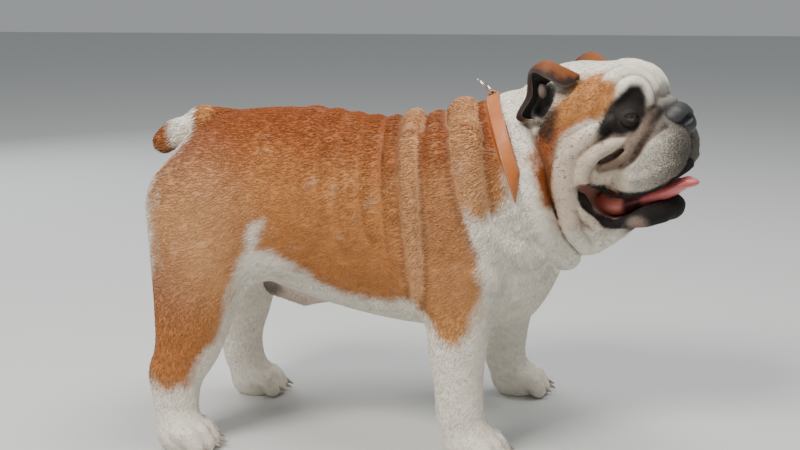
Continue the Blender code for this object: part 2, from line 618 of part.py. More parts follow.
def is_pinched(pattern):
    """Whether the surface would touch itself in a cube with these corners inside."""
    inside = {corner for corner in range(8) if pattern >> corner & 1}
    return not (in_one_piece(inside) and in_one_piece(set(range(8)) - inside))


PINCHED = np.array([is_pinched(pattern) for pattern in range(256)])


def surface_cells(distance, low, high, size, halvings):
    """Small cubes near the surface, found by halving large ones."""
    coarse = size * 2**halvings
    counts = np.ceil((high - low) / coarse).astype(int)
    cells = np.stack(np.meshgrid(*[np.arange(n) for n in counts], indexing="ij"), axis=-1).reshape(-1, 3)
    for level in range(halvings + 1):
        step = coarse / 2**level
        values = np.abs(distance(low + (cells + 0.5) * step))
        cells = cells[values < step * 1.5]
        if level < halvings:
            cells = (cells[:, None, :] * 2 + CUBE_CORNERS).reshape(-1, 3)
    return cells


def skin_mesh(distance, low, high, size, halvings=3):
    """Quads on the zero surface of a signed distance: one corner in each cube it crosses."""
    low, high = np.asarray(low), np.asarray(high)
    cells = surface_cells(distance, low, high, size, halvings)
    span = int(cells.max()) + 3

    def key(index):
        return (index[..., 0] * span + index[..., 1]) * span + index[..., 2]

    corners = (cells[:, None, :] + CUBE_CORNERS).reshape(-1, 3)
    _, first, inverse = np.unique(key(corners), return_index=True, return_inverse=True)
    inverse = inverse.reshape(-1, 8)
    corner_values = distance(low + corners[first] * size)
    # Where the surface would touch itself inside a cube, the smaller part gives way
    for _ in range(30):
        inside = corner_values[inverse] < 0.0
        pinched = PINCHED[inside @ (1 << np.arange(8))]
        mostly_inside = inside.sum(axis=1) > 4
        emptied = inverse[pinched & ~mostly_inside]
        filled = inverse[pinched & mostly_inside]
        corner_values[emptied] = np.maximum(corner_values[emptied], 1e-5)
        corner_values[filled] = np.minimum(corner_values[filled], -1e-5)
    values = corner_values[inverse]
    inside = values < 0.0
    mixed = inside.any(axis=1) & ~inside.all(axis=1)
    cells, values, inside = cells[mixed], values[mixed], inside[mixed]
    order = np.argsort(key(cells))
    cells, values, inside = cells[order], values[order], inside[order]
    keys = key(cells)
    total = np.zeros((len(cells), 3))
    crossings = np.zeros(len(cells))
    for a, b in CUBE_EDGES:
        crossed = inside[:, a] != inside[:, b]
        share = values[crossed, a] / (values[crossed, a] - values[crossed, b])
        total[crossed] += CUBE_CORNERS[a] + share[:, None] * (CUBE_CORNERS[b] - CUBE_CORNERS[a])
        crossings[crossed] += 1
    vertices = low + (cells + total / crossings[:, None]) * size
    faces = []
    for axis, far_corner in ((0, 4), (1, 2), (2, 1)):
        u, v = np.eye(3, dtype=int)[(axis + 1) % 3], np.eye(3, dtype=int)[(axis + 2) % 3]
        crossed = inside[:, 0] != inside[:, far_corner]
        own = cells[crossed]
        around = np.stack([key(own), key(own - u), key(own - u - v), key(own - v)], axis=1)
        quads = np.searchsorted(keys, around)
        outward = inside[crossed, 0][:, None]
        faces.append(np.where(outward, quads, quads[:, ::-1]))
    return vertices, np.concatenate(faces)


# Building the pieces

COLOURS = {
    "coat_orange": (0.48, 0.17, 0.045, 0.8, 0.0),
    "coat_cream": (0.72, 0.66, 0.55, 0.8, 0.0),
    "nose_leather": (0.030, 0.028, 0.028, 0.45, 0.0),
    "tongue": (0.62, 0.16, 0.16, 0.35, 0.0),
    "eye": (0.035, 0.018, 0.010, 0.08, 0.0),
    "collar_leather": (0.50, 0.13, 0.03, 0.5, 0.0),
    "ring_steel": (0.62, 0.62, 0.60, 0.25, 1.0),
}


def material(name):
    """A plain finish by name, made once."""
    made = bpy.data.materials.get(name)
    if made:
        return made
    made = bpy.data.materials.new(name)
    made.use_nodes = True
    red, green, blue, roughness, metallic = COLOURS[name]
    shader = made.node_tree.nodes["Principled BSDF"]
    shader.inputs["Base Color"].default_value = (red, green, blue, 1.0)
    shader.inputs["Roughness"].default_value = roughness
    shader.inputs["Metallic"].default_value = metallic
    return made


def add_object(name, vertices, faces):
    """A mesh object from corners and faces."""
    mesh = bpy.data.meshes.new(name)
    mesh.from_pydata([tuple(v) for v in vertices], [], [tuple(int(i) for i in f) for f in faces])
    mesh.update()
    made = bpy.data.objects.new(name, mesh)
    bpy.context.collection.objects.link(made)
    return made


def apply_modifiers(made):
    """Replaces an object's mesh by the one its modifiers give."""
    evaluated = made.evaluated_get(bpy.context.evaluated_depsgraph_get())
    mesh = bpy.data.meshes.new_from_object(evaluated)
    made.modifiers.clear()
    made.data = mesh
    return made


def decimate(made, triangles, weights=None):
    """Collapses edges down to a number of triangles; a low weight keeps more of them."""
    triangulate(made)
    modifier = made.modifiers.new("decimate", "DECIMATE")
    modifier.ratio = min(1.0, triangles / len(made.data.polygons))
    if weights is not None:
        group = made.vertex_groups.new(name="detail")
        weights = np.round(weights, 2)
        for weight in np.unique(weights):
            group.add(np.flatnonzero(weights == weight).tolist(), float(weight), "REPLACE")
        modifier.vertex_group = "detail"
        modifier.vertex_group_factor = DETAIL_FACTOR
    apply_modifiers(made)
    made.vertex_groups.clear()
    return made


def triangulate(made):
    shape = bmesh.new()
    shape.from_mesh(made.data)
    bmesh.ops.triangulate(shape, faces=shape.faces)
    shape.to_mesh(made.data)
    shape.free()


def copy_object(made, name):
    copied = made.copy()
    copied.data = made.data.copy()
    copied.name = name
    bpy.context.collection.objects.link(copied)
    return copied


def remove(made):
    bpy.data.objects.remove(made, do_unlink=True)


def swollen(made, distance):
    """A copy grown outwards along its normals, to cut a nest that leaves a thin gap."""
    grown = copy_object(made, made.name + "_nest")
    shape = bmesh.new()
    shape.from_mesh(grown.data)
    shape.normal_update()
    for vertex in shape.verts:
        vertex.co += vertex.normal * vertex.calc_shell_factor() * distance
    shape.to_mesh(grown.data)
    shape.free()
    return grown


def boolean(made, others, operation, solver="EXACT"):
    """Joins or cuts an object by others in one go, and removes the others."""
    holder = bpy.data.collections.new("operands")
    bpy.context.scene.collection.children.link(holder)
    for other in others:
        holder.objects.link(other)
    modifier = made.modifiers.new("boolean", "BOOLEAN")
    modifier.operation = operation
    modifier.operand_type = "COLLECTION"
    modifier.collection = holder
    modifier.solver = solver
    apply_modifiers(made)
    for other in list(others):
        remove(other)
    bpy.data.collections.remove(holder)
    return keep_largest(made)


def keep_largest(made):
    """Leaves only the largest closed surface of a mesh."""
    shape = bmesh.new()
    shape.from_mesh(made.data)
    remaining = set(shape.faces)
    islands = []
    while remaining:
        stack = [remaining.pop()]
        island = []
        while stack:
            face = stack.pop()
            island.append(face)
            for edge in face.edges:
                for linked in edge.link_faces:
                    if linked in remaining:
                        remaining.remove(linked)
                        stack.append(linked)
        islands.append(island)
    islands.sort(key=lambda faces: -sum(face.calc_area() for face in faces))
    for island in islands[1:]:
        bmesh.ops.delete(shape, geom=island, context="FACES")
    bmesh.ops.triangulate(shape, faces=shape.faces)
    shape.to_mesh(made.data)
    shape.free()
    return made


def part_by_plane(made, name, point, facing):
    """Cuts off what lies in front of a plane as a new object; a thin gap stays between."""
    normal = Vector(facing).normalized()
    front = copy_object(made, name)
    for piece, side in ((front, 1), (made, -1)):
        shape = bmesh.new()
        shape.from_mesh(piece.data)
        cut = bmesh.ops.bisect_plane(
            shape, geom=shape.verts[:] + shape.edges[:] + shape.faces[:], dist=1e-7,
            plane_co=Vector(point) + normal * side * GAP / 2, plane_no=normal,
            clear_inner=side > 0, clear_outer=side < 0)
        rim = [edge for edge in cut["geom_cut"] if isinstance(edge, bmesh.types.BMEdge)]
        bmesh.ops.holes_fill(shape, edges=[edge for edge in rim if edge.is_boundary], sides=0)
        bmesh.ops.triangulate(shape, faces=shape.faces)
        shape.to_mesh(piece.data)
        shape.free()
        keep_largest(piece)
    return front


def block(name, low, high):
    """A plain box between two corners."""
    corners = [(x, y, z) for x in (low[0], high[0]) for y in (low[1], high[1]) for z in (low[2], high[2])]
    faces = ((0, 1, 3, 2), (4, 6, 7, 5), (0, 4, 5, 1), (2, 3, 7, 6), (0, 2, 6, 4), (1, 5, 7, 3))
    return add_object(name, corners, faces)


def part_by_block(made, name, low, high):
    """Cuts off what lies inside a box as a new object; a thin gap stays between."""
    low, high = np.array(low), np.array(high)
    piece = copy_object(made, name)
    boolean(piece, [block("inner", low, high)], "INTERSECT")
    boolean(made, [block("outer", low - GAP, high + GAP)], "DIFFERENCE")
    return piece


def make_skin():
    """The whole body as one closed mesh, finer on the head and the paws."""
    skin = add_object("skin", *skin_mesh(dog, (-0.33, -0.21, -0.03), (0.41, 0.21, 0.50), SKIN_CELL))
    places = np.array([v.co for v in skin.data.vertices])
    head = to_head(places)
    on_head = np.clip((head[:, 0] + 0.06) / 0.02, 0.0, 1.0) * np.clip((head[:, 2] + 0.18) / 0.02, 0.0, 1.0)
    on_paw = np.clip((0.05 - places[:, 2]) / 0.01, 0.0, 1.0)
    decimate(skin, SKIN_TRIANGLES, 1.0 - 0.7 * on_head - 0.3 * on_paw)
    return skin


def small_form(name, distance, low, high, cell, triangles):
    """A small closed piece from its own distance function, in the head's frame."""
    vertices, faces = skin_mesh(distance, low, high, cell, halvings=2)
    return decimate(add_object(name, from_head(vertices), faces), triangles)


def nose_distance(points):
    form = Form(points)
    for centre, radii in NOSE_MASSES:
        form.add_ellipsoid(centre, radii, 0.006)
    for side in (-1, 1):
        form.add_chain([(x, side * y, z, radius) for x, y, z, radius in NOSTRIL], 0.0015, cut=True)
    return form.distance


def tongue_distance(points):
    """A chain of rods flattened across their middle line."""
    joints = resample(TONGUE, 14)
    middle = np.interp(points[:, 0], joints[:, 0], joints[:, 2])
    flat = np.column_stack((points[:, 0], points[:, 1], (points[:, 2] - middle) / TONGUE_FLATNESS))
    distance = np.full(len(points), 1.0)
    for start, end in zip(joints, joints[1:]):
        level = [(joint[0], joint[1], 0.0, joint[3]) for joint in (start, end)]
        distance = np.minimum(distance, tapered_rod(flat, *level))
    groove = 0.0014 * np.exp(-((points[:, 1] + 0.010) / 0.004) ** 2)
    return smooth_min(distance * TONGUE_FLATNESS + groove, ellipsoid(points, *TONGUE_ROOT), 0.006)


def tail_distance(points):
    form = Form(points)
    form.add_chain(resample(TAIL, 12), 0.001)
    return form.distance


def eye_axes(side):
    """Forward, sideways and up directions of one eye, in the head's frame."""
    outward = side * EYE_OUTWARD
    forward = np.array((math.cos(outward), math.sin(outward), 0.05))
    forward /= np.linalg.norm(forward)
    across = np.cross((0.0, 0.0, 1.0), forward)
    across /= np.linalg.norm(across)
    return forward, across, np.cross(forward, across)


def make_eye(name, side):
    """A plain ball."""
    shape = bmesh.new()
    bmesh.ops.create_uvsphere(shape, u_segments=12, v_segments=8, radius=EYE_RADIUS)
    bmesh.ops.triangulate(shape, faces=shape.faces)
    mesh = bpy.data.meshes.new(name)
    shape.to_mesh(mesh)
    shape.free()
    centre = from_head((EYE_CENTRE[0], side * EYE_CENTRE[1], EYE_CENTRE[2]))
    mesh.transform(Matrix.Translation(Vector(centre)))
    eye = bpy.data.objects.new(name, mesh)
    bpy.context.collection.objects.link(eye)
    return eye


def tube(name, places, radii, sides=6, closed=True):
    """A tube round a run of places, closed on itself or tapered shut at both ends."""
    places = np.asarray(places)
    count = len(places)
    if closed:
        ways = np.roll(places, -1, axis=0) - np.roll(places, 1, axis=0)
    else:
        ways = np.gradient(places, axis=0)
    ways /= np.linalg.norm(ways, axis=1, keepdims=True)
    middle = places.mean(axis=0)
    vertices = []
    for place, way, radius in zip(places, ways, radii):
        first = place - middle
        first -= (first @ way) * way
        if np.linalg.norm(first) < 1e-6:
            first = np.cross(way, (0.0, 0.3, 1.0))
        first /= np.linalg.norm(first)
        second = np.cross(way, first)
        for step in range(sides):
            angle = 2 * math.pi * step / sides
            vertices.append(place + radius * (math.cos(angle) * first + math.sin(angle) * second))
    faces = []
    for ring in range(count if closed else count - 1):
        after = (ring + 1) % count
        for step in range(sides):
            beside = (step + 1) % sides
            faces.append((ring * sides + step, ring * sides + beside,
                          after * sides + beside, after * sides + step))
    if not closed:
        faces.append(tuple(reversed(range(sides))))
        faces.append(tuple(range((count - 1) * sides, count * sides)))
    return add_object(name, vertices, faces)


def make_lids(side):
    """The thick rims of both lids round one eye."""
    forward, across, up = eye_axes(side)
    centre = np.array((EYE_CENTRE[0], side * EYE_CENTRE[1], EYE_CENTRE[2]))
    places = []
    for step in range(LID_STEPS):
        angle = 2 * math.pi * step / LID_STEPS
        a = LID_REACH[0] * math.cos(angle)
        b = LID_REACH[1] * math.sin(angle)
        ahead = math.sqrt(max((EYE_RADIUS + 0.0006) ** 2 - a * a - b * b, 0.0))
        places.append(centre + ahead * forward + a * across + b * up)
    return tube("lids", from_head(places), [LID_RADIUS] * LID_STEPS)


def make_ear(name, side):
    """A thin leaf from the skull out to its rim and over to the folded edge."""
    curves = [resample(curve, EAR_COLUMNS) * (1.0, side, 1.0) for curve in (EAR_ROOT, EAR_RIM, EAR_EDGE)]
    belly = 0.5 * (curves[0] + curves[1]) + np.array(EAR_BULGE)
    rows = np.stack([curves[0], belly, curves[1], curves[2]])
    share = np.linspace(0.0, 1.0, EAR_ROWS)
    grid = np.zeros((EAR_COLUMNS, EAR_ROWS, 3))
    for column in range(EAR_COLUMNS):
        for axis in range(3):
            grid[column, :, axis] = smooth_curve(share, EAR_STATIONS, rows[:, column, axis])
    along = np.gradient(grid, axis=0)
    outward = np.gradient(grid, axis=1)
    normal = np.cross(along, outward)
    normal /= np.maximum(np.linalg.norm(normal, axis=2, keepdims=True), 1e-9)
    taper = np.linspace(1.0, 0.6, EAR_ROWS)[None, :, None]
    front = grid + normal * EAR_THICKNESS / 2 * taper
    back = grid - normal * EAR_THICKNESS / 2 * taper
    vertices = np.concatenate((front.reshape(-1, 3), back.reshape(-1, 3)))
    offset = EAR_COLUMNS * EAR_ROWS
    faces = []
    for column in range(EAR_COLUMNS - 1):
        for row in range(EAR_ROWS - 1):
            a = column * EAR_ROWS + row
            b, c, d = a + EAR_ROWS, a + EAR_ROWS + 1, a + 1
            faces += [(a, b, c), (a, c, d)]
            faces += [(a + offset, c + offset, b + offset), (a + offset, d + offset, c + offset)]
    rim = [column * EAR_ROWS for column in range(EAR_COLUMNS)]
    rim += [(EAR_COLUMNS - 1) * EAR_ROWS + row for row in range(1, EAR_ROWS)]
    rim += [column * EAR_ROWS + EAR_ROWS - 1 for column in range(EAR_COLUMNS - 2, -1, -1)]
    rim += [row for row in range(EAR_ROWS - 2, 0, -1)]
    for a, b in zip(rim, rim[1:] + rim[:1]):
        faces += [(b, a, a + offset), (b, a + offset, b + offset)]
    ear = add_object(name, from_head(vertices), faces)
    face_outwards(ear)
    return ear


def face_outwards(made):
    shape = bmesh.new()
    shape.from_mesh(made.data)
    bmesh.ops.recalc_face_normals(shape, faces=shape.faces)
    shape.to_mesh(made.data)
    shape.free()


def make_claws(paw):
    """A short cone at the tip of each toe."""
    claws = []
    for _, joint, tip in toe_joints(paw):
        start, end = np.array(joint[:3]), np.array(tip[:3])
        way = (end - start) * (1.0, 1.0, 0.0)
        way = way / np.linalg.norm(way) + np.array((0.0, 0.0, -0.40))
        way /= np.linalg.norm(way)
        root = end + way * (TOE_RADIUS * 0.55) + np.array((0.0, 0.0, 0.003))
        places = [root, root + way * CLAW_LENGTH * 0.6, root + way * CLAW_LENGTH]
        claw = tube("claw", places, np.multiply(CLAW_TAPER, CLAW_RADIUS), sides=5, closed=False)
        face_outwards(claw)
        claws.append(claw)
    return claws


def collar_axes():
    """The collar's axis, the way out at its top, and its left side."""
    axis = np.array(COLLAR_AXIS) / np.linalg.norm(COLLAR_AXIS)
    left = np.array((0.0, 1.0, 0.0))
    top = np.cross(axis, left)
    return axis, top, left


def make_collar():
    """A band that follows the neck: inner and outer rings at its front and back edges."""
    axis, top, left = collar_axes()
    angles = 2 * math.pi * np.arange(COLLAR_SIDES) / COLLAR_SIDES
    directions = np.cos(angles)[:, None] * top + np.sin(angles)[:, None] * left
    rings = []
    for shift in (-COLLAR_WIDTH / 2, COLLAR_WIDTH / 2):
        centre = COLLAR_CENTRE + axis * shift
        starts = np.tile(centre, (COLLAR_SIDES, 1))
        under_folds = skin_depth(trunk_base, starts, directions, 0.16) + COLLAR_FOLD_DEPTH
        depth = np.minimum(skin_depth(dog, starts, directions, 0.16), under_folds)
        for _ in range(3):
            depth = (np.roll(depth, 1) + depth + np.roll(depth, -1)) / 3
        rings.append([centre + directions * (depth - 0.0005)[:, None],
                      centre + directions * (depth - 0.0005 + COLLAR_THICKNESS)[:, None]])
    (back_in, back_out), (front_in, front_out) = rings
    vertices = np.concatenate((back_in, back_out, front_out, front_in))
    faces = []
    for i in range(COLLAR_SIDES):
        j = (i + 1) % COLLAR_SIDES
        for row in range(4):
            here, beside = row * COLLAR_SIDES, (row + 1) % 4 * COLLAR_SIDES
            faces.append((here + i, here + j, beside + j, beside + i))
    collar = add_object("collar", vertices, faces)
    triangulate(collar)
    face_outwards(collar)
    return collar, 0.5 * (back_out[0] + front_out[0])


def make_ring(at):
    """The metal ring, leaning back from the collar, and the leather loop that holds it."""
    axis, top, left = collar_axes()
    lean = (top - RING_LEAN * axis) / np.linalg.norm(top - RING_LEAN * axis)
    centre = at + lean * (RING_RADIUS - 0.001) + top * 0.002
    angles = 2 * math.pi * np.arange(RING_STEPS) / RING_STEPS
    places = centre + RING_RADIUS * (np.cos(angles)[:, None] * lean + np.sin(angles)[:, None] * left)
    ring = tube("collar_ring", places, [RING_WIRE] * RING_STEPS)
    loop_places = [at + left * step + top * 0.001 for step in (-LOOP_REACH, LOOP_REACH)]
    loop = tube("loop", loop_places, (LOOP_RADIUS, LOOP_RADIUS), sides=8, closed=False)
    face_outwards(loop)
    face_outwards(ring)
    return ring, loop


def main():
    for old in list(bpy.data.objects):
        bpy.data.objects.remove(old, do_unlink=True)
    skin = make_skin()
    chest = part_by_plane(skin, "soles", (0.0, 0.0, 0.0), (0.0, 0.0, 1.0))
    remove(skin)
    chest.name = "chest"
    head = part_by_plane(chest, "head", *HEAD_CUT)
    neck = part_by_plane(chest, "neck", *NECK_CUT)
    nodes = {"head": head, "neck": neck, "chest": chest}
    blocks = (("fore", FORELEG_BLOCKS, WRIST_HEIGHT), ("hind", HINDLEG_BLOCKS, HOCK_HEIGHT))
    for prefix, sides, height in blocks:
        for side, (back, front, inner, top) in sides.items():
            low = (back, inner, -0.05) if side == "left" else (back, -0.30, -0.05)
            high = (front, 0.30, top) if side == "left" else (front, -inner, top)
            paw = part_by_block(chest, f"{prefix}paw_{side}", low, high)
            leg = part_by_plane(paw, f"{prefix}leg_{side}", (0.0, 0.0, height), (0.0, 0.0, 1.0))
            nodes[paw.name] = paw
            nodes[leg.name] = leg
    loin = copy_object(chest, "loin")
    front = part_by_plane(loin, "front", *LOIN_CUT)
    remove(chest)
    front.name = "chest"
    nodes["chest"] = front
    nodes["loin"] = loin
    for side in ("left", "right"):
        boolean(nodes[f"forepaw_{side}"], make_claws(FOREPAWS[side]), "UNION")
        boolean(nodes[f"hindpaw_{side}"], make_claws(HINDPAWS[side]), "UNION")
    vertices, faces = skin_mesh(tail_distance, (-0.32, -0.07, 0.30), (-0.16, 0.04, 0.41), SKIN_CELL,
                                halvings=1)
    tail = decimate(add_object("tail", vertices, faces), TAIL_TRIANGLES)
    boolean(loin, [swollen(tail, GAP)], "DIFFERENCE")
    nose = small_form("nose", nose_distance, (0.065, -0.036, -0.045), (0.120, 0.036, 0.015),
                      0.0012, NOSE_TRIANGLES)
    tongue = small_form("tongue", tongue_distance, (-0.040, -0.050, -0.130), (0.135, 0.050, -0.060),
                        0.0020, TONGUE_TRIANGLES)
    nodes.update({"tail": tail, "nose": nose, "tongue": tongue})
    for side, name in ((1, "left"), (-1, "right")):
        nodes[f"eye_{name}"] = make_eye(f"eye_{name}", side)
        nodes[f"ear_{name}"] = make_ear(f"ear_{name}", side)
    boolean(head, [make_lids(1), make_lids(-1)], "UNION", "MANIFOLD")
    collar, at = make_collar()
    ring, loop = make_ring(at)
    boolean(collar, [loop], "UNION")
    boolean(collar, [swollen(ring, GAP)], "DIFFERENCE")
    nodes.update({"collar": collar, "collar_ring": ring})
    boolean(neck, [swollen(nodes[name], GAP) for name in ("collar", "collar_ring")], "DIFFERENCE")
    set_in_head = ("nose", "tongue", "eye_left", "eye_right", "ear_left", "ear_right", "collar")
    boolean(head, [swollen(nodes[name], GAP) for name in set_in_head], "DIFFERENCE", "MANIFOLD")
    finishes = {"nose": "nose_leather", "tongue": "tongue", "eye_left": "eye", "eye_right": "eye",
                "collar": "collar_leather", "collar_ring": "ring_steel", "chest": "coat_orange",
                "loin": "coat_orange", "tail": "coat_orange"}
    for name, node in nodes.items():
        node.name = name
        node.data.name = name
        node.data.materials.clear()
        node.data.materials.append(material(finishes.get(name, "coat_cream")))
        node.data.shade_smooth()
    centre_on_floor(nodes.values())


def centre_on_floor(pieces):
    """Moves everything so that the middle of the whole is at X = Y = 0 and the soles at Z = 0."""
    corners = np.array([v.co for piece in pieces for v in piece.data.vertices])
    low, high = corners.min(axis=0), corners.max(axis=0)
    shift = (-(low[0] + high[0]) / 2, -(low[1] + high[1]) / 2, -low[2])
    for piece in pieces:
        piece.data.transform(Matrix.Translation(shift))


main()
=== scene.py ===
import math

import bmesh
import bpy
import numpy as np
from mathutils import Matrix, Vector


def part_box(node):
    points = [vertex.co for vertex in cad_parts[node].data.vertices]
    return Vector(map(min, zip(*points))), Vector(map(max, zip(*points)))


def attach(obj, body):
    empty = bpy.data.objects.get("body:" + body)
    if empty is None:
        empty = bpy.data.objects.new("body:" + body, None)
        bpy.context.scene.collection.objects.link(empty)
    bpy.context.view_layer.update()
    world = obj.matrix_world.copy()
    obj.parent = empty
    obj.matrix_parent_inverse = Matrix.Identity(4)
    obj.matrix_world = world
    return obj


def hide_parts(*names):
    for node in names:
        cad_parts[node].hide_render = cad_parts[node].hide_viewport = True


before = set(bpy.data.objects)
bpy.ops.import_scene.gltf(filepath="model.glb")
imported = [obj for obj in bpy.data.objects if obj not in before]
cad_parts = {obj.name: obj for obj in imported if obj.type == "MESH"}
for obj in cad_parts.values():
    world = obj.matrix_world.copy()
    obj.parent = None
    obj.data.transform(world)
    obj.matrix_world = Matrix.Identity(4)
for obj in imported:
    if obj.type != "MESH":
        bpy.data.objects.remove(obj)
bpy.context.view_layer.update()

# The place it stands in
# A plain pale floor and a soft studio: one broad light from above and in front, a weaker one
# from behind and an even grey surround.


def light(name, place, size, watts, colour):
    """A square area light that faces the dog."""
    made = bpy.data.objects.new(name, bpy.data.lights.new(name, "AREA"))
    made.data.energy = watts
    made.data.size = size
    made.data.color = colour
    made.location = place
    made.rotation_euler = (Vector((0.0, 0.0, 0.2)) - Vector(place)).to_track_quat("-Z", "Y").to_euler()
    bpy.context.collection.objects.link(made)


light("key", (-1.0, -1.5, 2.3), 0.9, 78, (1.0, 0.96, 0.90))
light("top", (0.5, 0.2, 2.6), 1.4, 48, (1.0, 0.99, 0.97))
light("back", (-1.6, 1.8, 1.2), 1.2, 18, (0.93, 0.96, 1.0))
world = bpy.data.worlds.new("studio")
world.use_nodes = True
world.node_tree.nodes["Background"].inputs["Color"].default_value = (0.86, 0.90, 0.94, 1.0)
world.node_tree.nodes["Background"].inputs["Strength"].default_value = 0.38
bpy.context.scene.world = world


def new_finish(name, **constants):
    """A material, its node tree and its main shader, with constants by input name."""
    made = bpy.data.materials.new(name)
    made.use_nodes = True
    shader = made.node_tree.nodes["Principled BSDF"]
    for socket, value in constants.items():
        shader.inputs[socket.replace("_", " ")].default_value = value
    return made, made.node_tree, shader


FLOOR_REACH = 9
floor_mesh = bpy.data.meshes.new("floor")
floor_corners = [(x * FLOOR_REACH, y * FLOOR_REACH, 0) for x, y in ((-1, -1), (1, -1), (1, 1), (-1, 1))]
floor_mesh.from_pydata(floor_corners, [], [(0, 1, 2, 3)])
floor = bpy.data.objects.new("floor", floor_mesh)
bpy.context.collection.objects.link(floor)
floor_mesh.materials.append(new_finish("pale_floor", Base_Color=(0.60, 0.61, 0.60, 1.0), Roughness=0.85)[0])

# Skin
# The dog's loose skin is one smooth surface from the lips to the soles, with rolls laid over
# the neck, ribs and face. It takes the place of every node of flesh and lies just inside them.
COAT_DEPTH = 0.0012
SKIN_CELL = 0.0024
FAR = 0.045

# Trunk: station along X, height of the back, height of the belly, half width
TRUNK = (
    (-0.270, 0.345, 0.240, 0.062),
    (-0.245, 0.367, 0.215, 0.084),
    (-0.215, 0.378, 0.200, 0.096),
    (-0.180, 0.383, 0.185, 0.100),
    (-0.130, 0.386, 0.166, 0.098),
    (-0.080, 0.382, 0.150, 0.106),
    (-0.030, 0.374, 0.138, 0.119),
    (0.020, 0.374, 0.130, 0.129),
    (0.070, 0.376, 0.126, 0.133),
    (0.120, 0.370, 0.130, 0.126),
    (0.160, 0.335, 0.145, 0.106),
    (0.192, 0.280, 0.190, 0.060),
)
TRUNK_ENDS = (-0.282, 0.200)
TRUNK_END_ROUNDING = 0.06
TRUNK_MIDDLE = (-0.03, 0.0, 0.26)
TRUNK_REACH = 0.27
# Masses on the trunk: middle, radii and the blend to what is there
BREAST = ((0.118, 0.0, 0.228), (0.072, 0.096, 0.084), 0.03)
# Shoulder, upper arm and front of the thigh, one each side; last, how much further
# forward the left one sits, because the left legs are ahead
LIMB_MASSES = (
    ((0.062, 0.095, 0.285), (0.076, 0.050, 0.090), 0.03, 0.035),
    ((0.060, 0.112, 0.222), (0.056, 0.036, 0.060), 0.02, 0.035),
    ((-0.150, 0.070, 0.250), (0.060, 0.034, 0.055), 0.03, 0.0175),
)
SHEATH = ((-0.150, 0.0, 0.172, 0.018), (-0.115, 0.0, 0.158, 0.016), (-0.095, 0.0, 0.160, 0.012))

# Legs: side, then joints from the top down as X, Y, Z and radius
FORELEGS = {
    "right": ((0.074, -0.112, 0.205, 0.046), (0.078, -0.119, 0.165, 0.038),
              (0.077, -0.122, 0.130, 0.0335), (0.079, -0.123, 0.090, 0.0285),
              (0.082, -0.124, 0.050, 0.0280), (0.088, -0.124, 0.030, 0.0270)),
    "left": ((0.116, 0.110, 0.205, 0.046), (0.124, 0.116, 0.165, 0.038),
             (0.130, 0.119, 0.130, 0.0325), (0.128, 0.120, 0.090, 0.0275),
             (0.126, 0.120, 0.050, 0.0270), (0.132, 0.121, 0.030, 0.0260)),
}
HINDLEGS = {
    "right": ((-0.218, -0.070, 0.275, 0.070), (-0.221, -0.085, 0.215, 0.060),
              (-0.229, -0.098, 0.160, 0.047), (-0.236, -0.107, 0.120, 0.0385),
              (-0.248, -0.113, 0.086, 0.0310), (-0.250, -0.116, 0.052, 0.0270),
              (-0.248, -0.117, 0.027, 0.0250)),
    "left": ((-0.206, 0.068, 0.275, 0.068), (-0.207, 0.080, 0.210, 0.056),
             (-0.209, 0.086, 0.160, 0.043), (-0.212, 0.088, 0.120, 0.0345),
             (-0.216, 0.089, 0.083, 0.0280), (-0.213, 0.089, 0.050, 0.0265),
             (-0.205, 0.088, 0.028, 0.0250)),
}
LEG_BREADTH = 0.85
# Bump of the heel behind the hock, which is this joint of the hind leg
HOCK_JOINT = 4
HEEL_RADII = (0.010, 0.012, 0.018)
HEEL_INSET = 0.012
# Paws: centre of the foot on the floor, length, width and turn outwards in degrees
FOREPAWS = {"right": (0.101, -0.126, 0.076, 0.068, 8), "left": (0.147, 0.123, 0.076, 0.066, 4)}
HINDPAWS = {"right": (-0.236, -0.118, 0.076, 0.060, 8), "left": (-0.195, 0.089, 0.074, 0.058, 4)}
PAW_HEIGHT = 0.044
# Toes: how far aside and ahead of the paw's middle each tip lies, as shares of its size
TOES = ((-0.36, 0.27), (-0.13, 0.36), (0.13, 0.36), (0.36, 0.27))
TOE_RADIUS = 0.0125
KNUCKLE_HEIGHT = 0.024
TOE_HEIGHT = 0.021

# Tail: a short kinked screw that lies down the rump, as X, Y, Z and radius
TAIL = ((-0.198, 0.000, 0.370, 0.0130), (-0.217, -0.005, 0.373, 0.0125), (-0.234, -0.011, 0.371, 0.0165),
        (-0.249, -0.018, 0.364, 0.0135), (-0.263, -0.026, 0.355, 0.0175), (-0.274, -0.031, 0.347, 0.0150))

# Neck: middle of the throat to the back of the skull, with the collar round its middle
NECK = ((0.050, 0.000, 0.264, 0.098), (0.110, 0.000, 0.296, 0.096), (0.150, -0.003, 0.322, 0.088),
        (0.184, -0.014, 0.344, 0.072))
NECK_BREADTH = 1.10

# Head: its own frame has X to the nose, Y to the dog's left and Z up
HEAD_ORIGIN = np.array((0.232, -0.030, 0.392))
HEAD_YAW = math.radians(-20)
HEAD_PITCH = math.radians(4)
HEAD_BLEND = 0.010

# Masses of the head, in its own frame: middle, radii and the blend to what is there
HEAD_MASSES = (
    ((-0.022, 0.000, 0.000), (0.074, 0.080, 0.054), 0.020),
    ((0.030, 0.000, 0.008), (0.046, 0.060, 0.043), 0.018),
    ((0.060, 0.000, -0.036), (0.042, 0.047, 0.036), 0.020),
    ((0.077, 0.000, -0.012), (0.016, 0.022, 0.015), 0.012),
)
